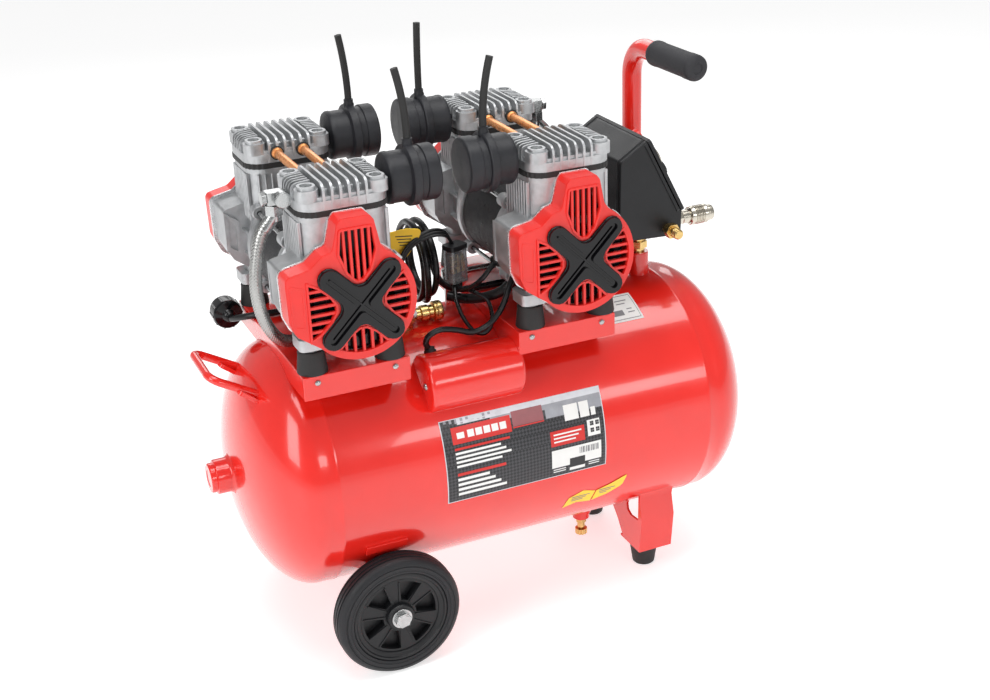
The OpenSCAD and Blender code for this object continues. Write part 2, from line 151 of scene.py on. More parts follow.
COPPER = material("copper_tube", (0.86, 0.36, 0.13), metal=0.75, rough=0.3, var=0.12,
                  rvar=0.08, scale=120, bump=0.05, bscale=700)
BLACK = material("black_moulded", (0.010, 0.0105, 0.012), rough=0.38, var=0.2, rvar=0.06,
                 scale=50, bump=0.16, bscale=1800, spec=0.35)
GLOSS = material("black_gloss", (0.004, 0.004, 0.005), rough=0.13, var=0.15, rvar=0.04,
                 scale=40, bump=0.04, bscale=1200, spec=0.36)
FILTER = material("filter_plastic", (0.014, 0.0145, 0.018), rough=0.44, spec=0.4, var=0.2,
                  rvar=0.06, scale=60, bump=0.3, bscale=1500)
RUBBER = material("black_rubber", (0.014, 0.014, 0.014), rough=0.62, var=0.25, rvar=0.1,
                  scale=70, bump=0.25, bscale=1300)
TYRE = material("tyre_rubber", (0.011, 0.0115, 0.014), rough=0.5, spec=0.4, var=0.25, rvar=0.1,
                scale=60, bump=0.35, bscale=1100)
CABLE = material("cable_jacket", (0.007, 0.007, 0.008), rough=0.3, spec=0.4, var=0.2, rvar=0.08,
                 scale=90, bump=0.08, bscale=900)
FOAM = material("foam_grip_skin", (0.022, 0.022, 0.026), rough=0.66, var=0.3, rvar=0.1,
                scale=300, bump=0.6, bscale=1500)
STATOR = material("lacquered_laminations", (0.022, 0.022, 0.024), metal=0.3, rough=0.36,
                  var=0.3, rvar=0.12, scale=60, bump=0.1, bscale=500)
WHITE = material("label_white", (0.82, 0.82, 0.80), rough=0.4, var=0.03, rvar=0.05)
LRED = material("label_red", (0.62, 0.02, 0.015), rough=0.38, var=0.04, rvar=0.05)
LGREY = material("label_grey", (0.10, 0.10, 0.11), rough=0.38, var=0.1, rvar=0.05)
LBLACK = material("label_black", (0.015, 0.015, 0.017), rough=0.35, var=0.1, rvar=0.05)
SILVER = material("label_silver", (0.62, 0.64, 0.68), rough=0.3, var=0.1, rvar=0.05)
SILVER2 = material("label_silver_dark", (0.30, 0.31, 0.34), rough=0.34, var=0.2, rvar=0.05)
LRED2 = material("label_red_dull", (0.30, 0.09, 0.10), rough=0.38, var=0.1, rvar=0.05)
LGREY2 = material("label_grey_ink", (0.20, 0.20, 0.21), rough=0.4, var=0.1, rvar=0.05)
YELLOW = material("yellow_card", (0.95, 0.62, 0.04), rough=0.5, var=0.06, rvar=0.08,
                  scale=30, bump=0.1, bscale=500)
BRAID = material("steel_braid", (0.40, 0.40, 0.39), metal=0.95, rough=0.26, var=0.06, rvar=0.05,
                 scale=120, bump=0.05, bscale=1500)
CLEAR = material("clear_plastic", (0.75, 0.77, 0.78), rough=0.12, rvar=0.04, trans=0.85,
                 ior=1.45)
DIAL = material("dial_face", (0.80, 0.80, 0.78), rough=0.3, var=0.03, rvar=0.05)


USUAL_SLOT = {m.name: slot for slot, mats in (
    ("red_paint", (RED, REDP)), ("cast_aluminium", (ALU, ALU2)), ("zinc_steel", (ZINC, BRAID)),
    ("hub_plastic", (BLACK, GLOSS, FILTER)), ("black_rubber", (RUBBER, CABLE)),
    ("brass", (BRASS,)), ("nickel", (NICKEL,)), ("copper", (COPPER,)), ("foam_grip", (FOAM,)),
    ("tyre_rubber", (TYRE,)), ("stator_steel", (STATOR,))) for m in mats}


def diamonds(m, scale, c1, c2):
    """a diamond checker as the base colour"""
    mp = node(m, "Mapping", Vector=node(m, "TexCoord").outputs["Object"],
              Rotation=(0, radians(45), 0))
    t = node(m, "TexChecker", Vector=mp.outputs["Vector"], Scale=scale, Color1=(*c1, 1),
             Color2=(*c2, 1))
    surface(m, Base_Color=t.outputs["Color"])


def bands(m, direction, scale, bump):
    """fine parallel bands in the surface"""
    t = node(m, "TexWave", Vector=node(m, "TexCoord").outputs["Object"], Scale=scale)
    t.bands_direction = direction
    bp = node(m, "Bump", Strength=bump, Distance=0.0006, Height=t.outputs["Fac"])
    surface(m, Normal=bp.outputs["Normal"])


diamonds(LGREY, 330, (0.012, 0.012, 0.014), (0.05, 0.05, 0.056))
bands(STATOR, "Y", 500, 0.5)


# ---------------------------------------------------------------- mesh tools
WELD = 1e-7                                # metres; vertices closer than this are one
FLAT, EDGE = radians(0.5), radians(32)     # flatter joins are dissolved, sharper ones rounded


def done(me, name, mat, body="frame", bevel=0.0, segs=2, smooth=38, rep=(), slot="usual",
         weighted=True, merge=True):
    """makes the finished piece: rounded edges, material, body and replaced nodes; the slot is
    looked up but kept nowhere
    """
    bm = bmesh.new()
    bm.from_mesh(me)
    bmesh.ops.remove_doubles(bm, verts=bm.verts, dist=WELD)
    if bevel and merge:
        bmesh.ops.dissolve_limit(bm, angle_limit=FLAT, verts=bm.verts, edges=bm.edges)
    bmesh.ops.recalc_face_normals(bm, faces=bm.faces)
    bm.to_mesh(me)
    bm.free()
    o = link(name, me)
    me.materials.clear()
    me.materials.append(mat)
    if bevel:
        md = o.modifiers.new("edge", "BEVEL")
        md.width = bevel * MM
        md.segments = segs
        md.limit_method = "ANGLE"
        md.angle_limit = EDGE
        dg = bpy.context.evaluated_depsgraph_get()
        new = bpy.data.meshes.new_from_object(o.evaluated_get(dg))
        o.modifiers.clear()
        o.data = new
        me = new
    for p in me.polygons:
        p.use_smooth = True
    me.set_sharp_from_angle(angle=radians(smooth))
    if weighted:
        wn = o.modifiers.new("normals", "WEIGHTED_NORMAL")
        wn.keep_sharp = True
    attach(o, body)
    if rep:
        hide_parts(*([rep] if isinstance(rep, str) else rep))
    if slot == "usual":
        slot = USUAL_SLOT.get(mat.name)
    return o


class Mesh:
    """collects shapes in design millimetres; out() makes them one piece and empties it"""

    def __init__(self):
        self.v, self.f = [], []

    def add(self, verts, faces, M=None):
        k = len(self.v)
        self.v += [(M @ Vector(p)) if M is not None else Vector(p) for p in verts]
        self.f += [tuple(i + k for i in f) for f in faces]
        return self

    def lathe(self, prof, M, seg=48):
        """revolves (radius, height) pairs about the local z axis"""
        turn = [radians(360.0 * k / seg) for k in range(seg)]
        verts = [(r * cos(a), r * sin(a), h) for r, h in prof for a in turn]
        faces = []
        for i in range(len(prof) - 1):
            for k in range(seg):
                q = (k + 1) % seg
                faces.append((i * seg + k, i * seg + q, (i + 1) * seg + q, (i + 1) * seg + k))
        if prof[0] != prof[-1]:
            if prof[0][0] > 1e-6:
                faces.append(tuple(range(seg - 1, -1, -1)))
            if prof[-1][0] > 1e-6:
                faces.append(tuple((len(prof) - 1) * seg + k for k in range(seg)))
        return self.add(verts, faces, M)

    def rod(self, r, h0, h1, M, seg=48):
        """a plain cylinder along the local z axis"""
        return self.lathe([(0, h0), (r, h0), (r, h1), (0, h1)], M, seg)

    def plate(self, outer, holes, h0, h1, M):
        """extrudes an outline with holes from h0 to h1 along the local z axis"""
        loops = [outer] + list(holes)
        flat = [p for lp in loops for p in lp]
        tris = tessellate_polygon([[Vector((p[0], p[1], 0)) for p in lp] for lp in loops])
        n = len(flat)
        verts = [(p[0], p[1], h0) for p in flat] + [(p[0], p[1], h1) for p in flat]
        faces = [tuple(t) for t in tris] + [tuple(i + n for i in reversed(t)) for t in tris]
        k = 0
        for lp in loops:
            m = len(lp)
            for i in range(m):
                j = (i + 1) % m
                faces.append((k + i, k + j, k + j + n, k + i + n))
            k += m
        return self.add(verts, faces, M)

    def rim(self, outer, inner, h0, h1, M):
        """a flat rim between two outlines with the same number of points"""
        n = len(outer)
        verts = [(x, y, h) for h in (h0, h1) for loop in (outer, inner) for x, y in loop]
        faces = []
        for i in range(n):
            j = (i + 1) % n
            faces += [(j, i, n + i, n + j), (2 * n + i, 2 * n + j, 3 * n + j, 3 * n + i),
                      (i, j, 2 * n + j, 2 * n + i), (n + j, n + i, 3 * n + i, 3 * n + j)]
        return self.add(verts, faces, M)

    def tube(self, pts, r, seg=12, radius=None):
        pts = [Vector(p) for p in pts]
        rings = []
        t0 = (pts[1] - pts[0]).normalized()
        s = t0.cross(Vector((0, 0, 1)) if abs(t0.z) < 0.9 else Vector((0, 1, 0))).normalized()
        for i, p in enumerate(pts):
            t = (pts[min(i + 1, len(pts) - 1)] - pts[max(i - 1, 0)]).normalized()
            s = (s - t * s.dot(t)).normalized()
            b = t.cross(s)
            ring = []
            for k in range(seg):
                a = 2 * pi * k / seg
                rr = r if radius is None else radius(i, k)
                ring.append(p + (s * cos(a) + b * sin(a)) * rr)
            rings.append(ring)
        verts = [q for ring in rings for q in ring]
        faces = [(i * seg + k, i * seg + (k + 1) % seg, (i + 1) * seg + (k + 1) % seg,
                  (i + 1) * seg + k) for i in range(len(pts) - 1) for k in range(seg)]
        faces.append(tuple(range(seg - 1, -1, -1)))
        faces.append(tuple((len(pts) - 1) * seg + k for k in range(seg)))
        return self.add(verts, faces)

    def out(self, name, mat, body="frame", **kw):
        me = bpy.data.meshes.new(name)
        me.from_pydata([V(*p) for p in self.v], [], self.f)
        self.v, self.f = [], []
        return done(me, name, mat, body, **kw)


def shift(x, y, z):
    return Matrix.Translation((x, y, z))


def spin(degrees, axis="Z"):
    return Matrix.Rotation(radians(degrees), 4, axis)


def at(x=0, y=0, z=0, axis="Z"):
    """matrix whose local z points along the named axis"""
    R = {"Z": Matrix.Identity(4), "X": spin(90, "Y"), "-X": spin(-90, "Y"),
         "Y": spin(-90, "X"), "-Y": spin(90, "X")}[axis]
    return shift(x, y, z) @ R


def along(letter, sign):
    """the named axis, pointing the way of the sign"""
    return letter if sign > 0 else "-" + letter


def face_y(c, z, s):
    """local x is +X, local y is +Z, local z points to the outside on side s (+1 rear)"""
    return Matrix(((1, 0, 0, c), (0, 0, s, 0), (0, 1, 0, z), (0, 0, 0, 1)))


def arc(cx, cy, r, a0, a1, n=12):
    return [(cx + r * cos(radians(a0 + (a1 - a0) * i / n)),
             cy + r * sin(radians(a0 + (a1 - a0) * i / n))) for i in range(n + 1)]


def rrect(w, h, r, n=6, cx=0.0, cy=0.0):
    """a rectangle with round corners"""
    p = []
    for sx, sy, a in ((1, 1, 0), (-1, 1, 90), (-1, -1, 180), (1, -1, 270)):
        p += arc(cx + sx * (w / 2 - r), cy + sy * (h / 2 - r), r, a, a + 90, n)
    return p


def circle(r, n=32, cx=0.0, cy=0.0):
    return [(cx + r * cos(2 * pi * i / n), cy + r * sin(2 * pi * i / n)) for i in range(n)]


def hexa(af, turn=0.0):
    r = af / 2 / cos(pi / 6)
    return [(r * cos(radians(turn + 60 * i)), r * sin(radians(turn + 60 * i))) for i in range(6)]


def rounded(pts, r, n=5):
    """rounds each corner of a polygon"""
    out = []
    m = len(pts)
    rs = r if isinstance(r, (list, tuple)) else [r] * m
    for i in range(m):
        p = Vector(pts[i])
        a = (Vector(pts[i - 1]) - p)
        b = (Vector(pts[(i + 1) % m]) - p)
        if rs[i] <= 0:
            out.append(tuple(p))
            continue
        ang = a.angle(b)
        d = min(rs[i] / math.tan(ang / 2), a.length * 0.48, b.length * 0.48)
        p0 = p + a.normalized() * d
        p1 = p + b.normalized() * d
        for k in range(n + 1):
            t = k / n
            q = p0 * (1 - t) ** 2 + p * 2 * t * (1 - t) + p1 * t * t
            out.append((q.x, q.y))
    return out


def spline(pts, step=4.0):
    """Catmull-Rom points through pts, about step millimetres apart"""
    P = [Vector(p) for p in pts]
    P = [P[0] * 2 - P[1]] + P + [P[-1] * 2 - P[-2]]
    out = []
    for i in range(1, len(P) - 2):
        a, b, c, d = P[i - 1:i + 3]
        n = max(2, round((c - b).length / step))
        for k in range(n):
            t = k / n
            out.append(0.5 * ((2 * b) + (c - a) * t + (2 * a - 5 * b + 4 * c - d) * t * t
                              + (3 * b - a - 3 * c + d) * t ** 3))
    out.append(P[-2])
    return out


def clip(poly, ax, lo, hi):
    """part of a polygon between two limits along one axis"""
    for sign, lim in ((1, lo), (-1, -hi)):
        out = []
        for i in range(len(poly)):
            p, q = poly[i - 1], poly[i]
            dp, dq = sign * p[ax] - lim, sign * q[ax] - lim
            if dp * dq < 0:
                t = dp / (dp - dq)
                out.append((p[0] + (q[0] - p[0]) * t, p[1] + (q[1] - p[1]) * t))
            if dq >= 0:
                out.append(q)
        poly = out
    return poly


def soften(node, mat, bevel=0.8):
    """the CAD node's own shape with its edges rounded"""
    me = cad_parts[node].data.copy()
    bm = bmesh.new()
    bm.from_mesh(me)
    bmesh.ops.remove_doubles(bm, verts=bm.verts, dist=2e-6)
    bmesh.ops.dissolve_limit(bm, angle_limit=radians(1.0), verts=bm.verts, edges=bm.edges)
    bm.to_mesh(me)
    bm.free()
    return done(me, node + "_piece", mat, bevel=bevel, rep=node)


def paint(node, mat):
    """gives a CAD node that stays a material"""
    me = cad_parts[node].data
    me.materials.clear()
    me.materials.append(mat)


m = Mesh()

# ---------------------------------------------------------------- camera
EYE = (-656.0, -1558.1, 1071.1)
az, el, roll = radians(-23.4), radians(24.1), radians(-2.2)
back = Vector((sin(az) * cos(el), -cos(az) * cos(el), sin(el)))
right = Vector((cos(az), sin(az), 0))
up = back.cross(right)
r2 = right * cos(roll) + up * sin(roll)
u2 = -right * sin(roll) + up * cos(roll)
cm = Matrix((r2, u2, back)).transposed().to_4x4()
cm.translation = V(*EYE)
cd = bpy.data.cameras.new("photo_view")
cd.lens = 54.64
cd.sensor_width = 36
cam = link("photo_view", cd)
cam.matrix_world = cm
bpy.context.scene.camera = cam


# ---------------------------------------------------------------- cords
def cord_curve(name, pts, r, mat):
    c = bpy.data.curves.new(name, "CURVE")
    c.dimensions = "3D"
    sp = c.splines.new("POLY")
    sp.points.add(len(pts) - 1)
    for i, p in enumerate(pts):
        sp.points[i].co = (*V(*p), 1)
    c.bevel_depth = r * MM
    c.bevel_resolution = 4
    c.use_fill_caps = True
    c.materials.append(mat)
    o = link(name, c)
    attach(o, "frame")
    return o


GLAND, PLUG = (150, 60, 470), (-284, 92, 382)
LEAD_R, COIL_R = 4.0, 44.5
COIL, TURNS, STEPS = Vector((-62, 42, 431)), 3.5, 40      # centre, turns, points per turn
SIDESTEP = 104                             # degrees of a turn spent moving to the next place
HALF_GAP = 5.65                            # the turns lie in a square of four places
PLACES = [(HALF_GAP, -HALF_GAP), (HALF_GAP, HALF_GAP), (-HALF_GAP, HALF_GAP),
          (-HALF_GAP, -HALF_GAP)]
SMOOTHING = 16                             # passes that ease the bends of the route
cord_in = [GLAND, (136, 58, 466), (126, 50, 450), (124, 38, 428), (118, 26, 408),
           (100, 19, 395), (80, 16, 393.5), (50, 15, 393.5), (20, 14, 393.5), (0, 13, 394),
           (-20, 9, 396), (-38, 5, 402), (-50, 4, 414)]
coil = []
for i in range(int(TURNS * STEPS) + 1):
    phi = 360.0 * i / STEPS
    k = int(phi // 360)
    f = max(0.0, min(1.0, (phi - 360 * k - (360 - SIDESTEP)) / SIDESTEP))
    a, b = PLACES[min(k, 3)], PLACES[min(k + 1, 3)]
    f = f * f * (3 - 2 * f)
    dx, dr = a[0] + (b[0] - a[0]) * f, a[1] + (b[1] - a[1]) * f
    R = COIL_R + dr
    coil.append((COIL.x + dx, COIL.y - R * cos(radians(phi)), COIL.z + R * sin(radians(phi))))
cord_out = [(-72, 79, 417), (-82, 77, 403), (-100, 73, 395.5), (-130, 68, 393.5),
            (-170, 62, 393.5), (-210, 58, 393.5), (-240, 56, 394), (-258, 58, 395),
            (-272, 66, 392), (-281, 78, 387), PLUG]
route = [Vector(p) for p in spline(cord_in + coil + cord_out, 5.0)]
for _ in range(SMOOTHING):
    route = ([route[0]] + [route[i] * 0.5 + (route[i - 1] + route[i + 1]) * 0.25
                           for i in range(1, len(route) - 1)] + [route[-1]])
power = cord_curve("power_cord_lead", route, LEAD_R, CABLE)
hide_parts("power_cord", "cord_coil", "cord_tail")

M = at(*PLUG, "Y")
m.lathe([(0, 0), (4.6, 0), (5.2, 1), (5.0, 3), (5.8, 4), (5.6, 6), (6.6, 7), (6.4, 9),
         (8, 11), (16.5, 12.5), (17.6, 14), (18, 16), (18, 33), (17.2, 35.4), (15.5, 36),
         (0, 36)], M, 48)
for k in range(10):
    a = radians(36 * k)
    m.plate(rrect(2.4, 2.2, 0.6, 2, 17.4 * cos(a), 17.4 * sin(a)), [], 15, 32, M)
plug_body = m.out("plug_moulding", GLOSS, rep="plug", slot="knob_plastic")
for x in (-9.5, 9.5):
    m.lathe([(0, 36), (2.4, 36), (2.4, 52.5), (1.6, 54), (0, 54)],
            at(*PLUG, "Y") @ shift(x, 0, 0), 20)
plug_pins = m.out("plug_pins", NICKEL)

lean = [(-9, 3), (-7, 0), (11, 0), (2, 0)]
for k, n in enumerate(("snorkel_fl", "snorkel_rl", "snorkel_fr", "snorkel_rr")):
    x = UNITS[0] + SNORKEL_X if k < 2 else UNITS[1] - SNORKEL_X
    y = -FILTER_Y if k % 2 == 0 else FILTER_Y
    H = 79 if k == 3 else 76
    pts = [(x + lean[k][0] * t * t, y + lean[k][1] * t * t, 626 + H * t)
           for t in [i / 16 for i in range(17)]]
    hose = cord_curve(n + "_hose", pts, 4.2, RUBBER)
    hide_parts(n)

# ---------------------------------------------------------------- receiver
HALF, DOME, TR = 253.0, 75.0, 150.0
prof = []
for i in range(25):
    a = radians(90 * i / 24)
    prof.append((TR * sin(a), -HALF - DOME * cos(a)))
for x, rise in ((12, 0), (13.2, 0.55), (15, 0.8), (17, 0.55), (18.2, 0)):      # weld bead
    prof.append((TR + rise, -HALF + x))
full = prof + [(TR, 0)] + [(r, -h) for r, h in reversed(prof)]
full[0] = (0.0, full[0][1])
full[-1] = (0.0, full[-1][1])
m.lathe(full, at(0, 0, TANK_Z, "X"), 192)
m.out("receiver_shell", RED, rep="tank", smooth=60, weighted=False)

m.lathe([(10, -353), (16.5, -353), (18, -351.5), (18, -347), (20.5, -346), (21, -345),
         (21, -331), (22.5, -328.5), (26, -326.2), (10, -318), (10, -353)],
        at(0, 0, TANK_Z, "X"), 64)
thread = []
for k in range(9):
    thread += [(9.95, -352 + 3 * k), (9.0, -350.6 + 3 * k)]
m.lathe([(10.2, -352.5)] + thread + [(10.2, -326)], at(0, 0, TANK_Z, "X"), 48)
m.out("end_port_boss", RED)
m.rod(10, -336, -334, at(0, 0, TANK_Z, "X"), 32)
m.out("end_port_plug", LBLACK, slot="hub_plastic")
dlo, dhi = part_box("drain_body")
DX, DY = (dlo.x + dhi.x) / 2 / MM - SX, (dlo.y + dhi.y) / 2 / MM
m.lathe([(0, 62), (10, 62), (11, 63), (11, 70), (13, 71), (13, 80), (15, 84), (0, 84)],
        at(DX, DY, 0), 40)
m.out("drain_boss", RED)


def patch(name, x0, x1, a0, a1, mat, off=0.35, nx=2, na=10, outline=None):
    """a thin sheet that hugs the receiver; angles go up from the -Y side"""
    R0 = TR + off
    if outline is None:
        outline = [(x0, a0), (x1, a0), (x1, a1), (x0, a1)]
    verts, faces = [], []
    cols = max(2, nx * 4)
    for i in range(cols + 1):
        x = x0 + (x1 - x0) * i / cols
        ys = []
        for j in range(len(outline)):
            p, q = outline[j - 1], outline[j]
            if (p[0] - x) * (q[0] - x) <= 0 and abs(p[0] - q[0]) > 1e-9:
                t = (x - p[0]) / (q[0] - p[0])
                ys.append(p[1] + (q[1] - p[1]) * t)
        lo, hi = (min(ys), max(ys)) if ys else (a0, a1)
        for j in range(na + 1):
            a = radians(lo + (hi - lo) * j / na)
            verts.append((x, -R0 * cos(a), TANK_Z + R0 * sin(a)))
    for i in range(cols):
        for j in range(na):
            k = i * (na + 1) + j
            faces.append((k, k + na + 1, k + na + 2, k + 1))
    m.add(verts, faces)
    m.out(name, mat, smooth=80, weighted=False)


# main label: generic blocks, no lettering; u runs along it and v runs down it
LABEL_LEFT, LABEL_LONG = -111, 203
LABEL_TOP, LABEL_SPAN = 29.2, 37.7         # degrees up from the -Y side


def label(name, u0, u1, v0, v1, mat, lift=0.52):
    patch("label_" + name, LABEL_LEFT + LABEL_LONG * u0, LABEL_LEFT + LABEL_LONG * u1,
          LABEL_TOP - LABEL_SPAN * v1, LABEL_TOP - LABEL_SPAN * v0, mat, lift,
          max(1, round((u1 - u0) * 6)), max(1, round((v1 - v0) * 24)))


label("edge", -0.006, 1.006, -0.01, 1.01, SILVER, 0.22)
label("ground", 0, 1, 0, 1, LGREY, 0.34)
label("fade", 0.10, 1.0, 0, 0.07, SILVER, 0.42)
label("fade_low", 0.30, 1.0, 0.07, 0.13, SILVER2, 0.42)
label("fade_right", 0.64, 1.0, 0.13, 0.24, SILVER2, 0.40)
for i in range(9):
    label("fringe_%d" % i, 0.02 + 0.034 * i, 0.036 + 0.034 * i, 0.0, 0.03 + 0.012 * (i * 5 % 4),
          SILVER2, 0.42)
label("block_a", 0.055, 0.42, 0.09, 0.29, LRED, 0.52)
label("mark_a", 0.085, 0.13, 0.16, 0.23, WHITE, 0.62)
for i in range(5):
    label("title_%d" % i, 0.15 + 0.05 * i, 0.19 + 0.05 * i, 0.15, 0.235, WHITE, 0.62)
label("block_b", 0.43, 0.625, 0.06, 0.24, LRED2, 0.52)
label("block_b_line", 0.43, 0.625, 0.245, 0.26, LRED, 0.52)
label("size_a", 0.755, 0.845, 0.13, 0.32, WHITE)
label("size_b", 0.855, 0.915, 0.13, 0.32, WHITE)
label("size_c", 0.925, 0.955, 0.22, 0.32, WHITE)
for i in range(5):
    label("line_a%d" % i, 0.06, 0.40 - 0.03 * (i * 2 % 3), 0.335 + 0.052 * i, 0.362 + 0.052 * i,
          LRED if i == 0 else WHITE)
for i in range(5):
    label("line_b%d" % i, 0.06, 0.36 - 0.035 * (i * 3 % 4), 0.64 + 0.064 * i, 0.675 + 0.064 * i,
          LRED if i == 0 else WHITE)
label("panel_red", 0.65, 0.87, 0.41, 0.60, LRED)
for i in range(3):
    label("panel_line%d" % i, 0.67, 0.85 - 0.02 * i, 0.45 + 0.045 * i, 0.468 + 0.045 * i, WHITE,
          0.62)
label("code", 0.89, 0.972, 0.37, 0.57, WHITE)
for i in range(6):
    for j in range(6):
        if (i * 7 + j * 3 + i * j) % 3 != 0:
            label("code_%d%d" % (i, j), 0.897 + 0.0118 * i, 0.908 + 0.0118 * i,
                  0.39 + 0.028 * j, 0.415 + 0.028 * j, LBLACK, 0.62)
label("panel_white", 0.65, 0.972, 0.65, 0.885, WHITE)
for i in range(12):
    label("bar_%d" % i, 0.83 + 0.0105 * i, 0.834 + 0.0105 * i + 0.002 * (i % 3), 0.68, 0.76,
          LGREY2, 0.62)
label("panel_dark", 0.765, 0.865, 0.80, 0.92, LBLACK, 0.62)
label("panel_tail", 0.765, 0.865, 0.925, 0.965, WHITE, 0.62)
for i in range(2):
    label("small_%d" % i, 0.66, 0.74, 0.905 + 0.03 * i, 0.918 + 0.03 * i, WHITE)
    label("small_r%d" % i, 0.89, 0.96, 0.905 + 0.03 * i, 0.918 + 0.03 * i, WHITE)

# square rating sticker behind the right unit and the folded card at the drain
patch("rating_sticker", 136, 182, 56.5, 73.5, WHITE, 0.35, 3, 8)
patch("rating_frame", 138, 180, 57.6, 72.4, LGREY2, 0.42, 3, 6)
patch("rating_inner", 138.8, 179.2, 58, 72, WHITE, 0.5, 3, 6)
for i, (x, w, a, h) in enumerate(((142, 9, 66, 3.6), (156, 16, 68.6, 0.6), (156, 12, 66.6, 0.6),
                                  (142, 18, 60, 3.2), (166, 9, 61, 0.6), (166, 7, 63, 0.6))):
    patch("rating_mark_%d" % i, x, x + w, a, a + h, LGREY2, 0.58, 1, 3)
patch("drain_card_a", 45, 85, -33, -20, YELLOW, 0.5, 4, 6,
      outline=[(45, -33.5), (49, -26), (68, -22.5), (85, -25), (83, -33), (62, -31)])
patch("drain_card_b", 84, 125, -33, -20, YELLOW, 0.9, 4, 6,
      outline=[(84, -32.5), (85, -25), (104, -22.5), (126, -18.5), (122, -25.5), (104, -30)])
for i in range(3):
    patch("drain_card_text%d" % i, 54, 78 - 4 * i, -26.4 - 1.3 * i, -25.8 - 1.3 * i, LGREY2, 0.7,
          2, 1)
    patch("drain_card_text_b%d" % i, 90 + i, 112 - 5 * i, -25.4 - 1.3 * i, -24.8 - 1.3 * i,
          LGREY2, 1.1, 2, 1)

# ---------------------------------------------------------------- sheet metal
for n in ("saddle_left", "saddle_right"):
    soften(n, RED, 1.2)
    lo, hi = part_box(n)
    x0, x1, y1, z = lo.x / MM - SX, hi.x / MM - SX, hi.y / MM, hi.z / MM
    for s in (-1, 1):
        for x in (x0 + 16, x1 - 18):
            m.lathe([(0, 0), (3.4, 0), (3.2, 1.4), (2.0, 2.4), (0, 2.6)],
                    at(x, s * y1, z - 8, along("Y", s)), 20)
    m.out(n + "_screws", ZINC)
soften("foot_bracket", RED, 0.9)
soften("wheel_brackets", RED, 0.9)
soften("handle_tube", RED, 0.0)

a30 = radians(30)
H0 = Vector((-346, 0, 371))


def bail(u, v, w=0.0):
    """a point of the carry handle: along it, across it and off its plane"""
    return H0 + Vector((cos(a30) * u + sin(a30) * w, v, -sin(a30) * u + cos(a30) * w))


path = [bail(60, -42)] + [bail(t, -42) for t in (50, 40, 30, 22, 15)]
for k in range(9):
    a = radians(90 * k / 8)
    path.append(bail(14 - 14 * sin(a), -28 - 14 * cos(a)))
path += [bail(0, t) for t in (-20, -10, 0, 10, 20)]
for k in range(9):
    a = radians(90 * k / 8)
    path.append(bail(14 - 14 * cos(a), 28 + 14 * sin(a)))
path += [bail(t, 42) for t in (15, 22, 30, 40, 50, 60)]
clean = [path[0]]
for p in path[1:]:
    if (p - clean[-1]).length > 0.8:
        clean.append(p)
m.tube(clean, 4.9, 20)
for s in (-1, 1):
    m.plate(rrect(34, 20, 5, 4), [], -4, 0.8,
            shift(*bail(52, s * 42, -3)) @ spin(38, "Y"))
m.out("carry_bail", RED, rep="carry_handle", bevel=0.0)

CY, CZ, CR = -104.0, 339.0, 34.5
prof = [(0, -119), (CR - 5, -119), (CR - 1.6, -118), (CR, -115.5), (CR, -112), (CR, -7),
        (CR - 1.2, -3.6), (CR - 5, -1.4), (0, -1)]
m.lathe(prof, at(0, CY, CZ, "X"), 72)
m.out("capacitor_shell", RED, rep="capacitor_cover", smooth=50)
m.lathe([(0, 0), (4.2, 0), (4, 1.4), (2.4, 2.6), (0, 2.9)], at(-119, CY - 12, CZ + 2, "-X"), 20)
m.out("capacitor_screw", ZINC)
m.lathe([(0, 0), (7.2, 0), (7.4, 2.4), (6.0, 3.2), (6.0, 6), (5.0, 7), (0, 7)],
        shift(-101, CY + 15, CZ + 30.4) @ spin(-26, "X"), 28)
m.out("capacitor_grommet", RUBBER)

# ---------------------------------------------------------------- handle grip
lo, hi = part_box("handle_grip")
gx, gz = (lo.x + hi.x) / 2 / MM - SX, (lo.z + hi.z) / 2 / MM
m.lathe([(12.6, 39), (15.0, 39), (15.8, 37.6), (16, 36), (16, 31), (15.5, 29), (15.5, -38),
         (16, -40), (16, -52), (15.6, -54.6), (14, -56.8), (11, -58), (7, -58), (6.6, -57.2),
         (0, -57.2)], at(gx, 0, gz, "Y"), 64)
m.out("foam_grip", FOAM, rep="handle_grip")

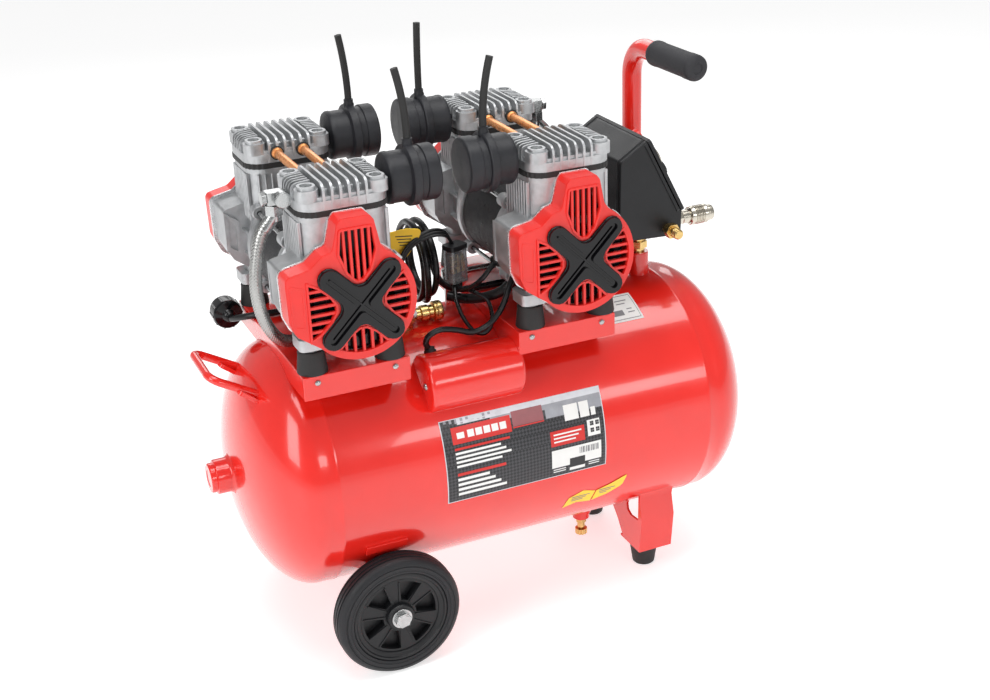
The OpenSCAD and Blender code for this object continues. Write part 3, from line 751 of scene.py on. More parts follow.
# ---------------------------------------------------------------- wheels
WX, WZ = mid("wheel_bolts").x - SX, mid("wheel_bolts").z
for s, side in ENDS:
    body = "wheel_" + side
    M = at(WX, s * 141, WZ, along("Y", s))
    m.lathe([(58, -17), (60, -17.8), (61.5, -18), (66.5, -15), (72, -11), (74.4, -8.6),
             (75.6, -6), (75.8, -4.6), (74.2, -4.2), (74.2, -2.4), (76, -2), (76, 2.6),
             (74.4, 3), (74.4, 4.8), (76, 5.2), (76, 8.4), (74.4, 8.8), (74.4, 10.6),
             (75.8, 11), (75.2, 13), (73.4, 16), (70.5, 18.4), (68, 18.9), (67.4, 18.2),
             (66.4, 18.2), (66, 19), (62.6, 18.9), (62, 18.2), (61, 18.2), (60.4, 18.6),
             (58.6, 18.2), (58, 17), (58, -17)], M, 144)
    m.out("tyre_" + side, TYRE, body, rep="wheel_%s_tyre" % side,
          weighted=False)
    m.lathe([(47, -16.6), (58, -17), (58, 17), (56.6, 18), (54.5, 18), (53.5, 16.4), (50, 15.4),
             (48.6, 14), (47, 7), (47, -16.6)], M, 96)
    m.lathe([(5.05, -20), (16, -20), (17, -19), (17, 17.5), (15.8, 19.4), (12, 19.8),
             (5.05, 19.8), (5.05, -20)], M, 48)
    outer = circle(48.2, 96)
    holes = []
    for k in range(6):
        a0 = 60 * k + 10
        p = arc(0, 0, 45, a0 - 17.5, a0 + 17.5, 10) + arc(0, 0, 20.5, a0 + 12, a0 - 12, 5)
        holes.append(rounded(p, 1.0, 2))
    m.plate(outer, [circle(16.4, 48)] + holes, 3.0, 13.0, M)
    m.plate(outer, [circle(16.4, 48)], -3.0, 3.4, M)
    for k in range(6):
        for e in (-1, 1):
            m.plate([(19, -0.7), (45.5, -0.7), (45.5, 0.7), (19, 0.7)], [], 3.0, 14.2,
                    M @ spin(60 * k + 10 + 18.6 * e))
    m.out("hub_" + side, BLACK, body, rep="wheel_%s_hub" % side, bevel=0.5)
for s in (-1, 1):
    ax = along("Y", s)
    m.rod(5, 110, 162, at(WX, 0, WZ, ax), 32)
    m.lathe([(5.2, 160.9), (12, 160.9), (12.4, 161.3), (12.4, 162), (12, 162.2), (5.2, 162.2),
             (5.2, 160.9)], at(WX, 0, WZ, ax), 40)
    m.plate(hexa(17, 12), [], 162.2, 167.4, at(WX, 0, WZ, ax))
    m.lathe([(0, 167.2), (7.6, 167.2), (7.2, 168), (0, 168)], at(WX, 0, WZ, ax), 32)
    m.plate(hexa(17, 5), [], 107, 115, at(WX, 0, WZ, ax))
m.out("wheel_bolt_set", ZINC, rep="wheel_bolts", bevel=0.4)

for s in (-1, 1):
    YX = Matrix(((0, 0, 1, 0), (s, 0, 0, 0), (0, 1, 0, 0), (0, 0, 0, 1)))
    lip = []
    for r, seq in ((149, range(5)), (152.6, range(4, -1, -1))):
        for k in seq:
            a = radians(-28.5 + 1.3 * k)
            lip.append((r * cos(a), TANK_Z + r * sin(a)))
    m.plate(lip, [], -211, -161, YX)
m.out("bracket_lips", RED, bevel=0.6)
lo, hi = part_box("rubber_feet")
fx = (lo.x + hi.x) / 2 / MM - SX
for s in (-1, 1):
    m.lathe([(0, 0), (13.2, 0), (14.3, 1.2), (14.8, 4), (18.4, 29), (18.8, 31), (18.6, 33.6),
             (0, 33.6)],
            at(fx, s * 72.5, 0), 48)
m.out("foot_pads", RUBBER, rep="rubber_feet")

# ---------------------------------------------------------------- pump units
OUT = ([(-16, 96), (16, 96), (20.5, 90)] + [(26, 62)] + arc(0, 0, 63, 60, -138, 44)
       + [(-72, -24), (-79, -8), (-80, 42), (-52, 48), (-38, 59.5), (-27, 63), (-20.5, 90)])
OUT_R = rounded(OUT, [3, 3, 5, 7] + [0] * 45 + [10, 14, 8, 8, 8, 6, 5], 4)


def inset(poly, d):
    """moves an outline inwards by d, or outwards if d is negative"""
    poly = [p for i, p in enumerate(poly)
            if (Vector(p) - Vector(poly[i - 1])).length > 0.05]
    n = len(poly)
    area = sum(poly[i - 1][0] * poly[i][1] - poly[i][0] * poly[i - 1][1] for i in range(n))
    sg = 1 if area > 0 else -1
    out = []
    for i in range(n):
        a, b, c = Vector(poly[i - 1]), Vector(poly[i]), Vector(poly[(i + 1) % n])
        e1, e2 = (b - a), (c - b)
        e1.normalize()
        e2.normalize()
        n1, n2 = Vector((-e1.y, e1.x)) * sg, Vector((-e2.y, e2.x)) * sg
        m = n1 + n2
        m = m / max(0.35, m.length_squared / 2)
        out.append((b.x + m.x * d, b.y + m.y * d))
    return out


G_TOP = rounded([(-18, 84), (18, 84), (21, 58), (13, 36), (4, 26), (-4, 26), (-13, 36),
                 (-21, 58)], 3, 3)
G_BOT = ([(-4, -27), (4, -27), (15, -34), (26, -46)] + arc(0, 0, 55, -57, -123, 10)
         + [(-26, -46), (-15, -34)])
G_RGT = ([(27, 4), (27, -4), (34, -15), (46, -26)] + arc(0, 0, 56.5, -29, 29, 10)
         + [(46, 26), (34, 15)])
G_LFT = [(-27, 4), (-34, 15), (-46, 26), (-57, 32), (-57, -32), (-46, -26), (-34, -15), (-27, -4)]


def slots_in(poly, ax, n, gap):
    """cuts an opening into n slots side by side along one axis"""
    lo = min(p[ax] for p in poly)
    hi = max(p[ax] for p in poly)
    w = (hi - lo - gap * (n - 1)) / n
    res = []
    for k in range(n):
        q = clip(poly, ax, lo + k * (w + gap), lo + k * (w + gap) + w)
        if len(q) > 2:
            res.append(q)
    return res


HOLES = (slots_in(inset(G_TOP, 1.5), 0, 6, 2.9) + slots_in(inset(G_BOT, 1.2), 0, 6, 2.9)
         + slots_in(inset(G_RGT, 1.2), 1, 6, 2.9) + slots_in(inset(G_LFT, 1.2), 1, 7, 2.9))


def x_shape(h, R, f, n=7):
    """an X of half width h and reach R, with round tips and fillets f"""
    p = []
    for k in range(4):
        a = 45 + 90 * k
        d = Vector((cos(radians(a)), sin(radians(a))))
        nrm = Vector((-d.y, d.x))
        tip = d * (R - h)
        p += [(tip.x + h * cos(radians(a - 90 + 180 * i / n)),
               tip.y + h * sin(radians(a - 90 + 180 * i / n))) for i in range(n + 1)]
        ca = radians(a + 45)
        C = Vector((cos(ca), sin(ca))) * (h + f) * math.sqrt(2)
        s0 = math.degrees(math.atan2(-nrm.y, -nrm.x))
        p += [(C.x + f * cos(radians(s0 - 90 * i / n)), C.y + f * sin(radians(s0 - 90 * i / n)))
              for i in range(n + 1)]
    return p


def groove(a, r0, r1, w):
    """a narrow bar from r0 to r1 in direction a"""
    d = Vector((cos(radians(a)), sin(radians(a))))
    nn = Vector((-d.y, d.x)) * w
    p = [d * r0 + nn, d * r0 - nn, d * r1 - nn * 0.7, d * r1 + nn * 0.7]
    return [tuple(q) for q in p]


badge_reps = ["badges"]
for ui, c in enumerate(UNITS):
    nm = SIDE[ui]
    # stator with its lamination stack and end rings
    prof = [(32, -48), (54, -48), (56.4, -47.4), (57, -46)]
    k = -44.0
    while k < 44:
        prof += [(57, k), (56.75, k + 0.4), (56.75, k + 0.9), (57, k + 1.3)]
        k += 3.0
    prof += [(57, 46), (56.4, 47.4), (54, 48), (32, 48), (32, -48)]
    m.lathe(prof, at(c, 0, SHAFT, "Y"), 96)
    m.out("stator_" + nm + "_stack", STATOR, rep="stator_" + nm,
          weighted=False)
    for s, sd in ENDS:
        key = sd + "_" + nm
        F = face_y(c, SHAFT, s)
        # casting: crankcase, flanges, cylinder with side ribs, feet and ears
        ax = at(c, 0, SHAFT, along("Y", s))
        m.lathe([(8.2, 48), (56, 48), (60, 49), (60.5, 51), (60.5, 58), (59, 60), (55.5, 61.5),
                 (53, 66), (51, 90), (50.5, 112), (52, 126), (57, 130), (58, 132), (58, 139.5),
                 (8.2, 139.5), (8.2, 48)], ax, 96)
        m.plate(inset(OUT_R, 3.0), [], 92, 136.0, F)
        for k in range(12):
            m.plate(rrect(9, 3.2, 1.2, 2, 53, 0), [], 60, 131, F @ spin(15 + 30 * k))
        m.plate([(-77, -10), (-60, -20), (-60, 26), (-77, 38)],
                [[(-73, -5), (-64, -11), (-64, 20), (-73, 31)]], 88.5, 92.5, F)
        m.out("crankcase_" + key, ALU, rep="pump_" + key, bevel=1.0)
        m.plate(inset(OUT_R, -1.4), [], 136.2, 139.6, F)
        m.out("cover_seat_" + key, ALU2, bevel=0.7)
        Z = at(c, s * CYL_Y, 0)
        m.plate(rrect(96, 78, 21), [], 494, 568.5, Z)
        m.plate(rrect(99, 81, 22), [], 563, 569.6, Z)
        for k in range(9):
            y = -26 + 6.5 * k
            for sx in (-1, 1):
                m.plate(rrect(4.4, 2.6, 0.8, 2, sx * 48.6, y), [], 507, 563.5, Z)
        for k in range(4):
            for sx in (-1, 1):
                m.plate(rrect(2.6, 4.0, 0.8, 2, sx * (15 + 8 * k), -s * 39.4), [], 512, 563.5, Z)
        for sx in (-1, 1):
            for k in range(3):
                m.plate([(sx * (49 - 7 * k), 486 - SHAFT), (sx * (55 - 9 * k), 486 - SHAFT),
                         (sx * (47 - 7 * k), 520 - SHAFT), (sx * (44 - 7 * k), 520 - SHAFT)]
                        [::sx], [], CYL_Y - 30 + 22 * k, CYL_Y - 26 + 22 * k, F)
        m.out("cylinder_" + key, ALU, bevel=0.7)
        for sx in (-1, 1):
            m.plate(rrect(32, 34, 7), [], 419, 432.5, at(c + sx * FOOT_X, s * FOOT_Y, 0))
            m.rod(10.5, 414, 419.5, at(c + sx * FOOT_X, s * FOOT_Y, 0), 32)
            m.plate(rrect(20, 24, 5), [], 432, 447, at(c + sx * 41, s * 111, 0))
            for sz in (-1, 1):
                m.lathe([(3, 46.2), (7.4, 46.2), (8.2, 47), (8.2, 60), (7, 62), (3, 62), (3, 46.2)],
                        at(c + sx * TIE, 0, SHAFT + sz * TIE, along("Y", s)), 28)
                m.plate(rrect(15, 12, 3), [], 49, 60,
                        F @ shift(sx * 41, sz * 41, 0) @ spin(45 * sx * sz))
        m.out("casting_lugs_" + key, ALU, bevel=0.8)
        for sx in (-1, 1):
            X = at(c + sx * FOOT_X, s * FOOT_Y, 432.5)
            m.rod(8.5, 0, 1.2, X, 24)
            m.plate(hexa(10), [], 1.2, 5.7, X)
            for sz in (-1, 1):
                m.lathe([(0, 62), (5.0, 62), (5.0, 66), (4.4, 66.8), (2.4, 66.8), (2.2, 64.4),
                         (0, 64.4)], at(c + sx * TIE, 0, SHAFT + sz * TIE, along("Y", s)), 24)
        m.out("casting_screws_" + key, ZINC, bevel=0.3)
        # head gasket with its notched edge
        base = rrect(102.4, 84.4, 21, 22)
        notch = []
        run = 0.0
        for i in range(len(base)):
            p, q = Vector(base[i - 1]), Vector(base[i])
            run += (q - p).length
            corner = abs(q.x) > 31 and abs(q.y) > 20
            kk = 1 - (0.016 if corner and (run % 6.0) > 3.6 else 0.0)
            notch.append((q.x * kk, q.y * kk))
        m.plate(notch, [], 569.8, 576.2, Z)
        m.out("head_gasket_" + key, RUBBER, rep=(["gaskets"] if (ui, s) == (0, -1) else ()),
              bevel=0.25, segs=1)
        # cylinder head
        m.plate(rrect(101.5, 83.5, 21), [], 576.2, 586.5, Z)
        m.plate(rrect(97, 79, 20), [], 586, 590.5, Z)
        fin = rounded([(-42.2, 0.4), (42.2, 0.4), (42.2, 29), (-42.2, 29)], [0.6, 0.6, 11, 11], 6)
        YZ = Matrix(((0, 0, 1, c), (1, 0, 0, s * CYL_Y), (0, 1, 0, HEAD_LO), (0, 0, 0, 1)))
        for k in range(6):
            x = -23.5 + 9.4 * k
            m.plate(fin, [], x - 1.5, x + 1.5, YZ)
        m.plate(rounded([(-30, 8), (30, 8), (30, 20), (-30, 20)], 3, 3), [], -24, 24, YZ)
        XZ = Matrix(((1, 0, 0, c), (0, 0, 1, s * CYL_Y), (0, 1, 0, HEAD_LO), (0, 0, 0, 1)))
        for sx in (-1, 1):
            q = rounded([(29 * sx, 6), (51 * sx, 6), (51 * sx, 26), (29 * sx, 27.6)][::sx],
                        [1, 1, 9, 1][::sx], 5)
            for k in range(5):
                y = -15 + 7.5 * k
                m.plate(q, [], y - 1.3, y + 1.3, XZ)
            for sy in (-1, 1):
                cx, cy = sx * BOLT_X, sy * BOLT_Y
                m.plate(rrect(24, 24, 9, 5, cx, cy), [], 586, 599, Z)
                m.plate(rrect(19, 19, 7.5, 5, cx, cy), [circle(6.6, 24, cx, cy)], 598.5, 602.5, Z)
        m.out("head_" + key + "_casting", ALU, rep="head_" + key,
              bevel=0.9)
        for sx, sy in CORNERS:
            m.lathe([(2.6, 594), (5.6, 594), (5.6, 599.4), (5.0, 600), (3.0, 600),
                     (2.6, 597), (0, 597)], Z @ shift(sx * BOLT_X, sy * BOLT_Y, 0), 24)
        m.out("head_screws_" + key, ZINC)
        # fan cover with louvres and raised rims
        m.plate(OUT_R, [inset(OUT_R, 2.4)], 139.8, 162.6, F)
        m.plate(inset(OUT_R, 0.4), HOLES, 159.5, 163.4, F)
        m.out("fan_cover_" + key, REDP, rep="cover_" + key, bevel=0.9)
        for G in (G_TOP, G_BOT, G_RGT, G_LFT):
            m.plate(inset(G, -1.3), [inset(G, 1.0)], 162.0, 165.0, F)
        m.plate(rounded([(-76, -14), (-61, -18), (-61, 28), (-76, 34)], 3, 3),
                [rounded([(-74, -12), (-63, -15.4), (-63, 26), (-74, 31)], 2, 3)],
                162.8, 163.9, F)
        m.out("louvre_rims_" + key, REDP, bevel=0.7)
        m.plate(x_shape(12.6, 60, 12), [], 163.0, 166.2, F)
        m.out("badge_" + key, GLOSS, rep=badge_reps, bevel=1.2, segs=3)
        badge_reps = []
        m.rim(x_shape(11.4, 58.8, 12.6), x_shape(4.2, 53, 5), 166.0, 169.4, F)
        for a in (45, 135):
            m.plate(rrect(96, 2.2, 0.8, 2), [], 165.8, 168.0 + a / 1000, F @ spin(a))
        m.out("badge_ridge_" + key, GLOSS, bevel=1.0, merge=False)
        # dark plate behind the louvres, painted shade for the dim inside seen through the slots,
        # and two spring clips on the rim
        m.plate(inset(OUT_R, 4), [], 140.2, 142.4, F)
        m.out("louvre_painted_shade_" + key, BLACK)
        for a in (38, -42):
            m.plate(rrect(4.5, 9, 1.2, 3, 63.5, 0), [], 138, 149, F @ spin(a))
        m.out("rim_clips_" + key, ZINC, bevel=0.4)
    # long tie bolts, copper transfer tubes, filters
    for sx, sz in CORNERS:
        m.rod(2.4, -63, 63, at(c + sx * TIE, 0, SHAFT + sz * TIE, "Y"), 20)
    m.out("tie_bolts_" + nm, ZINC)
    for sx in (-1, 1):
        m.rod(4.9, -56, 56, at(c + sx * TUBE_X, 0, TUBE_Z, "Y"), 28)
        for e in (-1, 1):
            m.lathe([(4.8, 0), (7.0, 0), (7.2, 1.0), (6.6, 3), (5.4, 5), (4.8, 5.4)],
                    at(c + sx * TUBE_X, e * 56, TUBE_Z, along("Y", -e)), 28)
    m.out("transfer_tubes_" + nm, COPPER, rep=(["copper_tubes"] if ui == 0 else ()))
    for sx, e in CORNERS:
        m.lathe([(5.0, -0.6), (8.2, -0.6), (8.2, 1.6), (7.4, 2.2), (5.0, 2.2), (5.0, -0.6)],
                at(c + sx * TUBE_X, e * 55.4, TUBE_Z, along("Y", -e)), 28)
    m.out("tube_seals_" + nm, RUBBER)
    d = 1 if ui == 0 else -1
    for s, sd in ENDS:
        X = at(c + d * FILTER_X, s * FILTER_Y, FILTER_Z, along("X", d))
        m.lathe([(0, -3), (9, -3), (9, 3), (11, 4), (22, 5), (27.2, 6.4), (28.6, 8.4), (28.8, 12),
                 (28.2, 13), (28.2, 29), (30.5, 30), (33.2, 30.6), (34, 31.8), (34, 39), (33.2, 40),
                 (30, 40.6), (29.4, 41.6), (29.4, 47.6), (30.8, 48.6), (31, 50), (31, 61.4),
                 (30.2, 63), (28.8, 63.8), (25, 64), (0, 64)], X, 96)
        m.lathe([(4.0, 30), (6.2, 30), (6.4, 34.5), (5.6, 36), (5.6, 40), (4.0, 40.4)],
                at(c + d * SNORKEL_X, s * FILTER_Y, FILTER_Z), 24)
        m.plate(rrect(40, 1.0, 0.4, 2), [], 63.7, 64.0, X)
        m.out("filter_%s_%s" % (sd, nm), FILTER,
              rep=(["filters"] if (ui, s) == (0, -1) else ()))

for c in UNITS:
    for sx, sy in CORNERS:
        m.lathe([(0, SADDLE_Z), (17, SADDLE_Z), (17.2, SADDLE_Z + 1.5), (16.8, SADDLE_Z + 4),
                 (14.8, 411), (15.0, 413), (14.2, 415), (0, 415)],
                at(c + sx * FOOT_X, sy * FOOT_Y, 0), 48)
m.out("rubber_buffers", RUBBER, rep="buffers")
for ui, nm in enumerate(SIDE):
    paint("rotor_" + nm, GLOSS)


# ---------------------------------------------------------------- hoses and fittings
def braid(name, pts, r, rep=()):
    """a hose with a woven jacket"""
    P = spline(pts, 0.9)

    def rad(i, k):
        a = 2 * pi * k / 48
        s1 = abs(sin(6 * a + i * 0.785))
        s2 = abs(sin(6 * a - i * 0.785))
        return r + 1.0 * max(s1, s2) - 0.65

    m.tube(P, r, 48, radius=rad)
    return m.out(name, BRAID, rep=rep, smooth=60, weighted=False)


hose_l = [(-268, -94, 566), (-284, -95, 548), (-292, -95, 522), (-296, -95, 492),
          (-293, -91, 462), (-284, -84, 436), (-270, -74, 416), (-252, -62, 406),
          (-232, -54, 403), (-216, -50, 403)]
hose_r = [(125, 94, 566), (141, 95, 548), (149, 95, 522), (153, 95, 492), (150, 91, 462),
          (141, 84, 436), (127, 74, 416), (109, 62, 406), (89, 54, 403), (73, 50, 403)]
braid("braided_hose_left", hose_l, 6.7, rep="delivery_hoses")
braid("braided_hose_right", hose_r, 6.7)
for c, d, y, xe, ye, hp in ((UNITS[0], -1, -94, -210, -50, hose_l),
                            (UNITS[1], 1, 94, 67, 50, hose_r)):
    m.plate(rrect(20, 15, 3), [], 578, 592, at(c + d * 63.2, y, 0))
    m.lathe([(0, 0), (8.6, 0), (9, 1), (9, 9), (8.2, 10), (0, 10)],
            at(c + d * 58, y, 585, along("Y", d)) @ shift(0, 0, 7), 32)
    m.rod(6.6, 0, 12, at(c + d * 55, y, 585, along("X", d)) @ shift(0, 0, -5), 28)
    m.plate(hexa(14, 8), [], 0, 5, at(c + d * 73.2, y, 585, along("X", d)))
    m.plate(hexa(18, 14), [], 566.5, 577.5, at(c + d * 65, y, 0))
    m.lathe([(0, 560), (7.4, 560), (7.4, 566), (8.4, 566.6), (8.4, 568), (0, 568)],
            at(c + d * 65, y, 0), 32)
    p0, p1 = Vector(hp[0]), Vector(hp[1])
    q = (p1 - p0).normalized()
    m.tube([p0 + Vector((0, 0, 1)), p0 + q * 10, p0 + q * 20], 7.3, 32)
    m.plate(hexa(18, 10), [], -6, 6, at(xe, ye, PIPE_Z, "X"))
    m.lathe([(0, 0), (7.2, 0), (7.4, 1), (7.4, 17), (6.8, 18), (0, 18)],
            at(xe + d * 5, ye, PIPE_Z, along("X", d)), 32)
m.rod(4, -204, -104, at(0, -50, PIPE_Z, "X"), 20)
m.rod(5, -50, -22, at(TEE_X, 0, PIPE_Z, "Y"), 20)
m.rod(4, -16, 61, at(0, 50, PIPE_Z, "X"), 20)
m.lathe([(0, 360), (7, 360), (7, 395), (9.5, 396), (9.5, 408), (8, 410), (0, 410)],
        at(-18, 50, 0), 32)
m.out("hose_fitting_set", ZINC, rep="hose_fittings", bevel=0.6)

m.rod(9, 372, 384, at(TEE_X, TEE_Y, 0), 32)
m.plate(hexa(24, 10), [], 384, 396, at(TEE_X, TEE_Y, 0))
m.lathe([(0, 396), (8, 396), (8, 408), (7, 410), (0, 410)], at(TEE_X, TEE_Y, 0), 32)
m.lathe([(0, -92), (7, -92), (7, -86), (9.5, -85), (9.5, -76), (8, -75), (8, -70), (11, -69.4),
         (12, -68.6), (12, -66.6), (11.2, -66), (11.2, -65), (12, -64.4), (12, -60.4),
         (11, -58.4), (0, -58)], at(0, TEE_Y, 389, "X"), 48)
m.out("check_valve_brass", BRASS, rep="check_valve", bevel=0.5)

m.lathe([(5, 56), (5, 48), (3.2, 47.6), (2.2, 47.6), (2.2, 50)], at(DX, DY, 0), 32)
m.plate(hexa(13, 10), [], 56, 63.5, at(DX, DY, 0))
m.rod(6, 63, 70, at(DX, DY, 0), 32)
m.out("drain_valve_brass", BRASS, rep="drain_body", bevel=0.4)
tooth = []
for k in range(72):
    a = radians(5 * k)
    rr = 8.0 - (0.9 if k % 6 in (0, 1) else 0.0)
    tooth.append((rr * cos(a), rr * sin(a)))
m.plate(tooth, [], 38.4, 46, at(DX, DY, 0))
m.rod(2, 45, 57, at(DX, DY, 0), 20)
m.out("drain_screw", BRASS, "drain", rep="drain_knob", bevel=0.4)

# wiring held by the object
lead = [(-101, -88, 372), (-106, -90, 382), (-102, -92, 392), (-88, -92, 396), (-68, -90, 391),
        (-48, -90, 384), (-30, -90, 388), (-16, -90, 399), (-6, -88, 412), (2, -84, 426),
        (11, -78, 438), (20, -74, 446)]
conduit = [(-46, -14, 402), (-30, -28, 400), (-10, -44, 404), (8, -55, 413), (22, -57, 427)]
m.tube(spline(lead, 2.5), 3.5, 20)
m.tube(spline(conduit, 2.5), 6.0, 20)
m.out("harness", CABLE, rep="wiring", weighted=False)

# thin leads between the units
m.tube(spline([(2, -64, 456), (-12, -68, 450), (-22, -66, 438), (-30, -52, 424), (-36, -30, 414),
               (-36, -16, 418)], 2.5), 3.0, 14)
m.tube(spline([(-38, -16, 418), (-44, -36, 402), (-43, -54, 386), (-36, -66, 374),
               (-25, -70, 370), (-15, -68, 377), (-12, -64, 392), (-16, -60, 408),
               (-28, -50, 416), (-34, -30, 415)], 2.5), 2.5, 14)
for k in range(3):
    m.tube(spline([(-34, -10 + 3 * k, 462), (-44, -12 + 3 * k, 476 + 2 * k),
                   (-62, -12 + 2 * k, 479 + 3 * k), (-84, -8, 470 + 3 * k),
                   (-98, -6, 452 + 4 * k), (-108, -8, 430)], 2.5), 1.9, 12)
m.out("thin_leads", CABLE, weighted=False)
m.lathe([(3.1, -2), (7.6, -2), (8.2, -1), (8.2, 5), (6.0, 6.4), (5.4, 11), (3.1, 11.4), (3.1, -2)],
        at(2, -64, 456, "-X"), 28)
m.out("motor_gland", RUBBER)

CYY, CZZ = -20.0, 447.0
X = at(0, CYY, CZZ, "X")
m.rod(7.4, 228, 258, X, 32)
m.plate(hexa(15, 20), [], 257.6, 271.4, X)
m.lathe([(5.2, 270), (8.5, 270), (8.5, 305), (9.6, 305.4), (10, 306.4), (10, 311.6),
         (9.2, 313), (5.2, 313), (5.2, 270)], X, 48)
m.out("coupler_nipple", NICKEL, rep="coupler_body", bevel=0.5)
ring = [(8.7, 280), (10.6, 280), (11.4, 280.8), (11.4, 284)]
k = 285.0
while k < 300:
    ring += [(12, k), (12, k + 0.9), (11.2, k + 1.3), (11.2, k + 1.8)]
    k += 2.2
ring += [(11.4, 301.5), (12, 302.4), (12, 303.8), (11.2, 305), (8.7, 305), (8.7, 280)]
m.lathe(ring, X, 64)
m.out("coupler_ring", NICKEL, "sleeve", rep="coupler_sleeve")

# outlet pipe, valve block and control console
m.lathe([(0, 362), (13, 362), (13, 404), (12.2, 406), (0, 406)], at(OUTLET_X, 0, 0), 48)
m.out("outlet_stub", RED, rep="outlet_pipe")
m.rod(8, 405, 412, at(OUTLET_X, 0, 0), 32)
m.plate(hexa(20, 15), [], 411, 420, at(OUTLET_X, 0, 0))
m.rod(8, 419, 446, at(OUTLET_X, 0, 0), 32)
m.out("outlet_stub_brass", BRASS, bevel=0.5)
m.rod(6, -59, -45, at(VALVE_X, 0, VALVE_Z, "Y"), 28)
m.plate(hexa(16.8, 0), [], -66, -57, at(VALVE_X, 0, VALVE_Z, "Y"))
m.lathe([(0, -80), (4.6, -80), (6, -79), (6.5, -77.6), (5.6, -76.8), (5.6, -76.2), (6.5, -75.4),
         (6.5, -74.2), (5.6, -73.4), (5.6, -72.8), (6.5, -72), (6.5, -66), (0, -66)],
        at(VALVE_X, 0, VALVE_Z, "Y"), 32)
m.out("outlet_valve_brass", BRASS, rep="outlet_valve", bevel=0.4)

CO = [(166, 441), (168, 541), (206, 565), (253, 470), (252, 437)]
YP = Matrix(((1, 0, 0, 0), (0, 0, 1, 0), (0, 1, 0, 0), (0, 0, 0, 1)))
m.plate(rounded(CO, [5, 6, 7, 6, 5], 5), [], -50, 84, YP)
m.plate(inset(rounded(CO, [5, 6, 7, 6, 5], 5), -1.2), [], -44, -41, YP)
m.plate(inset(rounded(CO, [5, 6, 7, 6, 5], 5), -1.2), [], 75, 78, YP)
m.out("console_shell", BLACK, rep="console_housing", bevel=1.6, segs=3)
TILT = 90 - 27.05                          # the panel leans back 27 degrees from upright
GAUGE_X, GAUGES_Y = -12, (-26, 26)
S = shift(231, 17, 517) @ spin(TILT, "Y")
for z0, z1, w, h in ((-9, -5.4, 104, 137), (-5.6, -3.8, 101, 134), (-4, 0.4, 107, 139)):
    m.plate(rrect(w, h, 4), [rrect(80, 108, 3)], z0, z1, S)
for k, d in enumerate((0.0, 1.8, 3.6)):
    m.plate(rrect(92 - 2 * d, 120 - 2 * d, 7 - d), [rrect(82, 110, 4)], 0.2 + 1.5 * k,
            2.0 + 1.5 * k, S)
m.plate(rrect(84, 112, 4), [circle(17.2, 40, GAUGE_X, y) for y in GAUGES_Y],
        0.2, 3.0, S)
m.plate(rrect(26, 44, 5, 5, 24, 0), [], 3.0, 3.9, S)
m.plate(rrect(22, 26, 4, 5, -29, 0), [], 3.0, 3.9, S)
m.out("console_bezel", BLACK, rep="console_panel", bevel=0.5)
D, K, GL = Mesh(), Mesh(), Mesh()
for y in GAUGES_Y:
    G = S @ shift(GAUGE_X, y, 0)
    m.lathe([(14.8, 2), (17, 2), (17, 9), (17.0, 10), (16.4, 11.4), (15.4, 12), (14.8, 11.4),
             (14.8, 2)], G, 64)
    D.rod(15, 8.8, 9.2, G, 64)
    for k in range(27):
        a = -225 + 10 * k
        K.plate(groove(a, 10.6 if k % 5 else 9.4, 13, 0.22), [], 9.1, 9.4, G @ spin(90))
    K.plate([(-0.9, -3.4), (0.9, -3.4), (0.3, 10.5), (-0.3, 10.5)], [], 9.6, 10.1,
            G @ spin(128))
    K.lathe([(0, 9.2), (2.0, 9.2), (1.8, 10.6), (0, 10.6)], G, 24)
    GL.lathe([(0, 10.9), (14.9, 10.7), (14.9, 11.1), (0, 11.5)], G, 48)
m.out("gauge_bezels", NICKEL, rep="gauges", slot="gauge_steel")
D.out("gauge_dials", DIAL)
K.out("gauge_marks", LBLACK)
GL.out("gauge_glass", CLEAR)
G = S @ shift(24, 0, 0)
lobes = []
for k in range(120):
    a = 2 * pi * k / 120
    lobes.append(((12.2 + 0.8 * cos(12 * a)) * cos(a), (12.2 + 0.8 * cos(12 * a)) * sin(a)))
m.plate(lobes, [], 6.2, 22.5, G)
m.lathe([(0, 22), (10.6, 22), (10.2, 24), (8.8, 24), (8.4, 23.2), (0, 23.2)], G, 48)
m.rod(6, 0.6, 7, G, 32)
m.out("regulator_dial", BLACK, "regulator", rep="regulator_knob", slot="knob_plastic", bevel=0.7)
G = S @ shift(-28, 0, 0)
m.lathe([(0, 0.6), (5, 0.6), (5, 7.2), (10, 7.4), (11, 8.4), (11, 13), (10.4, 14.4), (9, 15),
         (7, 14.6), (0, 14.2)], G, 56)
m.out("power_button", REDP, "power", rep="power_knob", slot="red_plastic")
for sy, sx in CORNERS:
    m.lathe([(0, 2.8), (2.8, 2.8), (2.6, 4.0), (1.6, 4.6), (0, 4.6)],
            S @ shift(sx * 37, sy * 51, 0), 20)
m.out("console_screws", ZINC, slot=None)
X = at(0, GLAND[1], GLAND[2], "X")
m.lathe([(4.1, 150), (6.0, 150), (6.4, 151), (6.4, 155), (9, 156.4), (9, 165), (4.1, 165),
         (4.1, 150)], X, 32)
m.plate(hexa(17.6, 12), [circle(4.1, 24)], 158, 163, X)
m.out("lead_gland", BLACK, rep="cord_gland", slot="black_rubber", bevel=0.4)

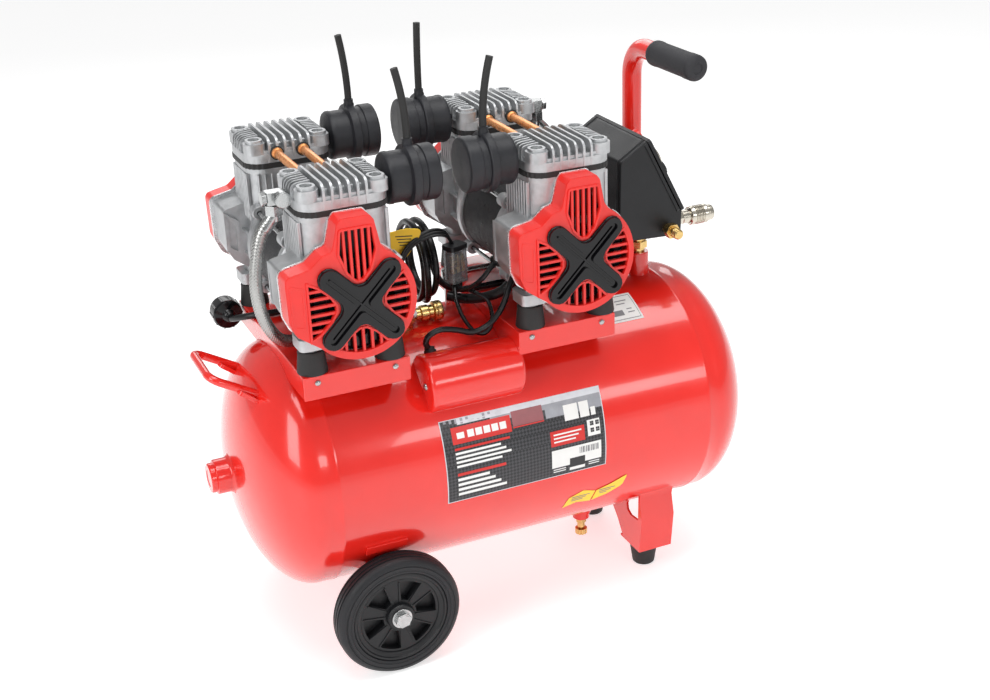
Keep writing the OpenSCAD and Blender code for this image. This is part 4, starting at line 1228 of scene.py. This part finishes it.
# terminal block and hang tag between the units
B = shift(-34, -13, 0) @ spin(18)
m.plate(rrect(24, 18, 3), [rrect(21, 15, 2)], 420, 460, B)
m.plate(rrect(24, 18, 3), [], 418.5, 420, B)
m.out("terminal_case", CLEAR, bevel=0.4)
m.plate(rrect(26, 20, 4), [], 459, 465, B)
m.plate(rrect(12, 12, 3), [], 412, 419, B)
m.plate(rrect(20, 4, 1, 3, 0, 3), [], 421, 456, B)
m.out("terminal_cap", BLACK, bevel=0.6, slot=None)
for x in (-6, 1, 8):
    m.plate(rrect(4.4, 5, 1, 3, x, -2), [], 430, 452, B)
    m.rod(2.2, 0, 1.6, B @ shift(x, -4.4, 446) @ spin(90, "X"), 16)
m.out("terminal_strip", BRASS, bevel=0.3, slot=None)

leafp = [(-14, 8), (-4, 18), (16, 22), (34, 20), (28, 6), (16, -14), (6, -26), (-4, -14)]
T = Matrix(((cos(radians(-20)), 0, -sin(radians(-20)), -104),
            (sin(radians(-20)), 0, cos(radians(-20)), 2), (0, 1, 0, 471), (0, 0, 0, 1)))
T = T @ spin(-12, "X")
m.plate(rounded(leafp, 7, 5), [circle(2.0, 16, 6, -19)], -0.5, 0.5, T)
m.out("hang_tag", YELLOW)
for k in range(4):
    m.plate(rrect(20 - 3 * k, 1.2, 0.4, 2, 12, 12 - 4 * k), [], -0.75, 0.75, T)
m.out("hang_tag_marks", LBLACK)
m.tube(spline([tuple(T @ Vector((6, -19, 0))), (-99, -4, 446), (-101, -10, 436),
               (-104, -16, 428), (-104, -20, 412)], 3), 0.9, 8)
m.out("hang_tag_tie", CABLE, weighted=False, slot=None)

# ---------------------------------------------------------------- studio
fl = bpy.data.meshes.new("studio_floor")
fl.from_pydata([(-40, -40, 0), (40, -40, 0), (40, 40, 0), (-40, 40, 0)], [], [(0, 1, 2, 3)])
floor = link("studio_floor", fl)
FLOOR = material("studio_paper", (0.72, 0.72, 0.72), rough=0.55, var=0.01, rvar=0.05, scale=3)
surface(FLOOR, Emission_Color=(1, 1, 1, 1), Emission_Strength=0.6)
fl.materials.append(FLOOR)

w = bpy.data.worlds.new("studio")
bpy.context.scene.world = w
w.use_nodes = True
lp = node(w, "LightPath")
sky = node(w, "MapRange", Value=lp.outputs["Is Camera Ray"], To_Min=0.42, To_Max=0.95)
wire(w, w.node_tree.nodes["Background"], Color=(1.0, 1.0, 1.0, 1), Strength=sky.outputs["Result"])


def light(name, loc, target, size, size_y, power, color=(1, 1, 1)):
    d = bpy.data.lights.new(name, "AREA")
    d.shape = "RECTANGLE"
    d.size, d.size_y = size, size_y
    d.energy = power
    d.color = color
    o = link(name, d)
    o.location = Vector(loc)
    o.rotation_euler = (Vector(target) - Vector(loc)).to_track_quat("-Z", "Y").to_euler()


light("softbox_top", (0.1, -0.3, 2.3), (0, 0, 0.3), 2.2, 1.0, 30)
light("softbox_left", (-2.3, -1.0, 1.5), (0, 0, 0.35), 1.0, 1.8, 26)
light("softbox_front", (0.7, -2.7, 1.3), (0, 0, 0.25), 1.8, 0.5, 14)
light("softbox_back", (0.8, 2.3, 1.7), (0, 0, 0.4), 2.2, 1.0, 14)
bpy.context.scene.view_settings.view_transform = "Standard"
bpy.context.scene.view_settings.look = "None"
bpy.context.scene.view_settings.exposure = 0.0
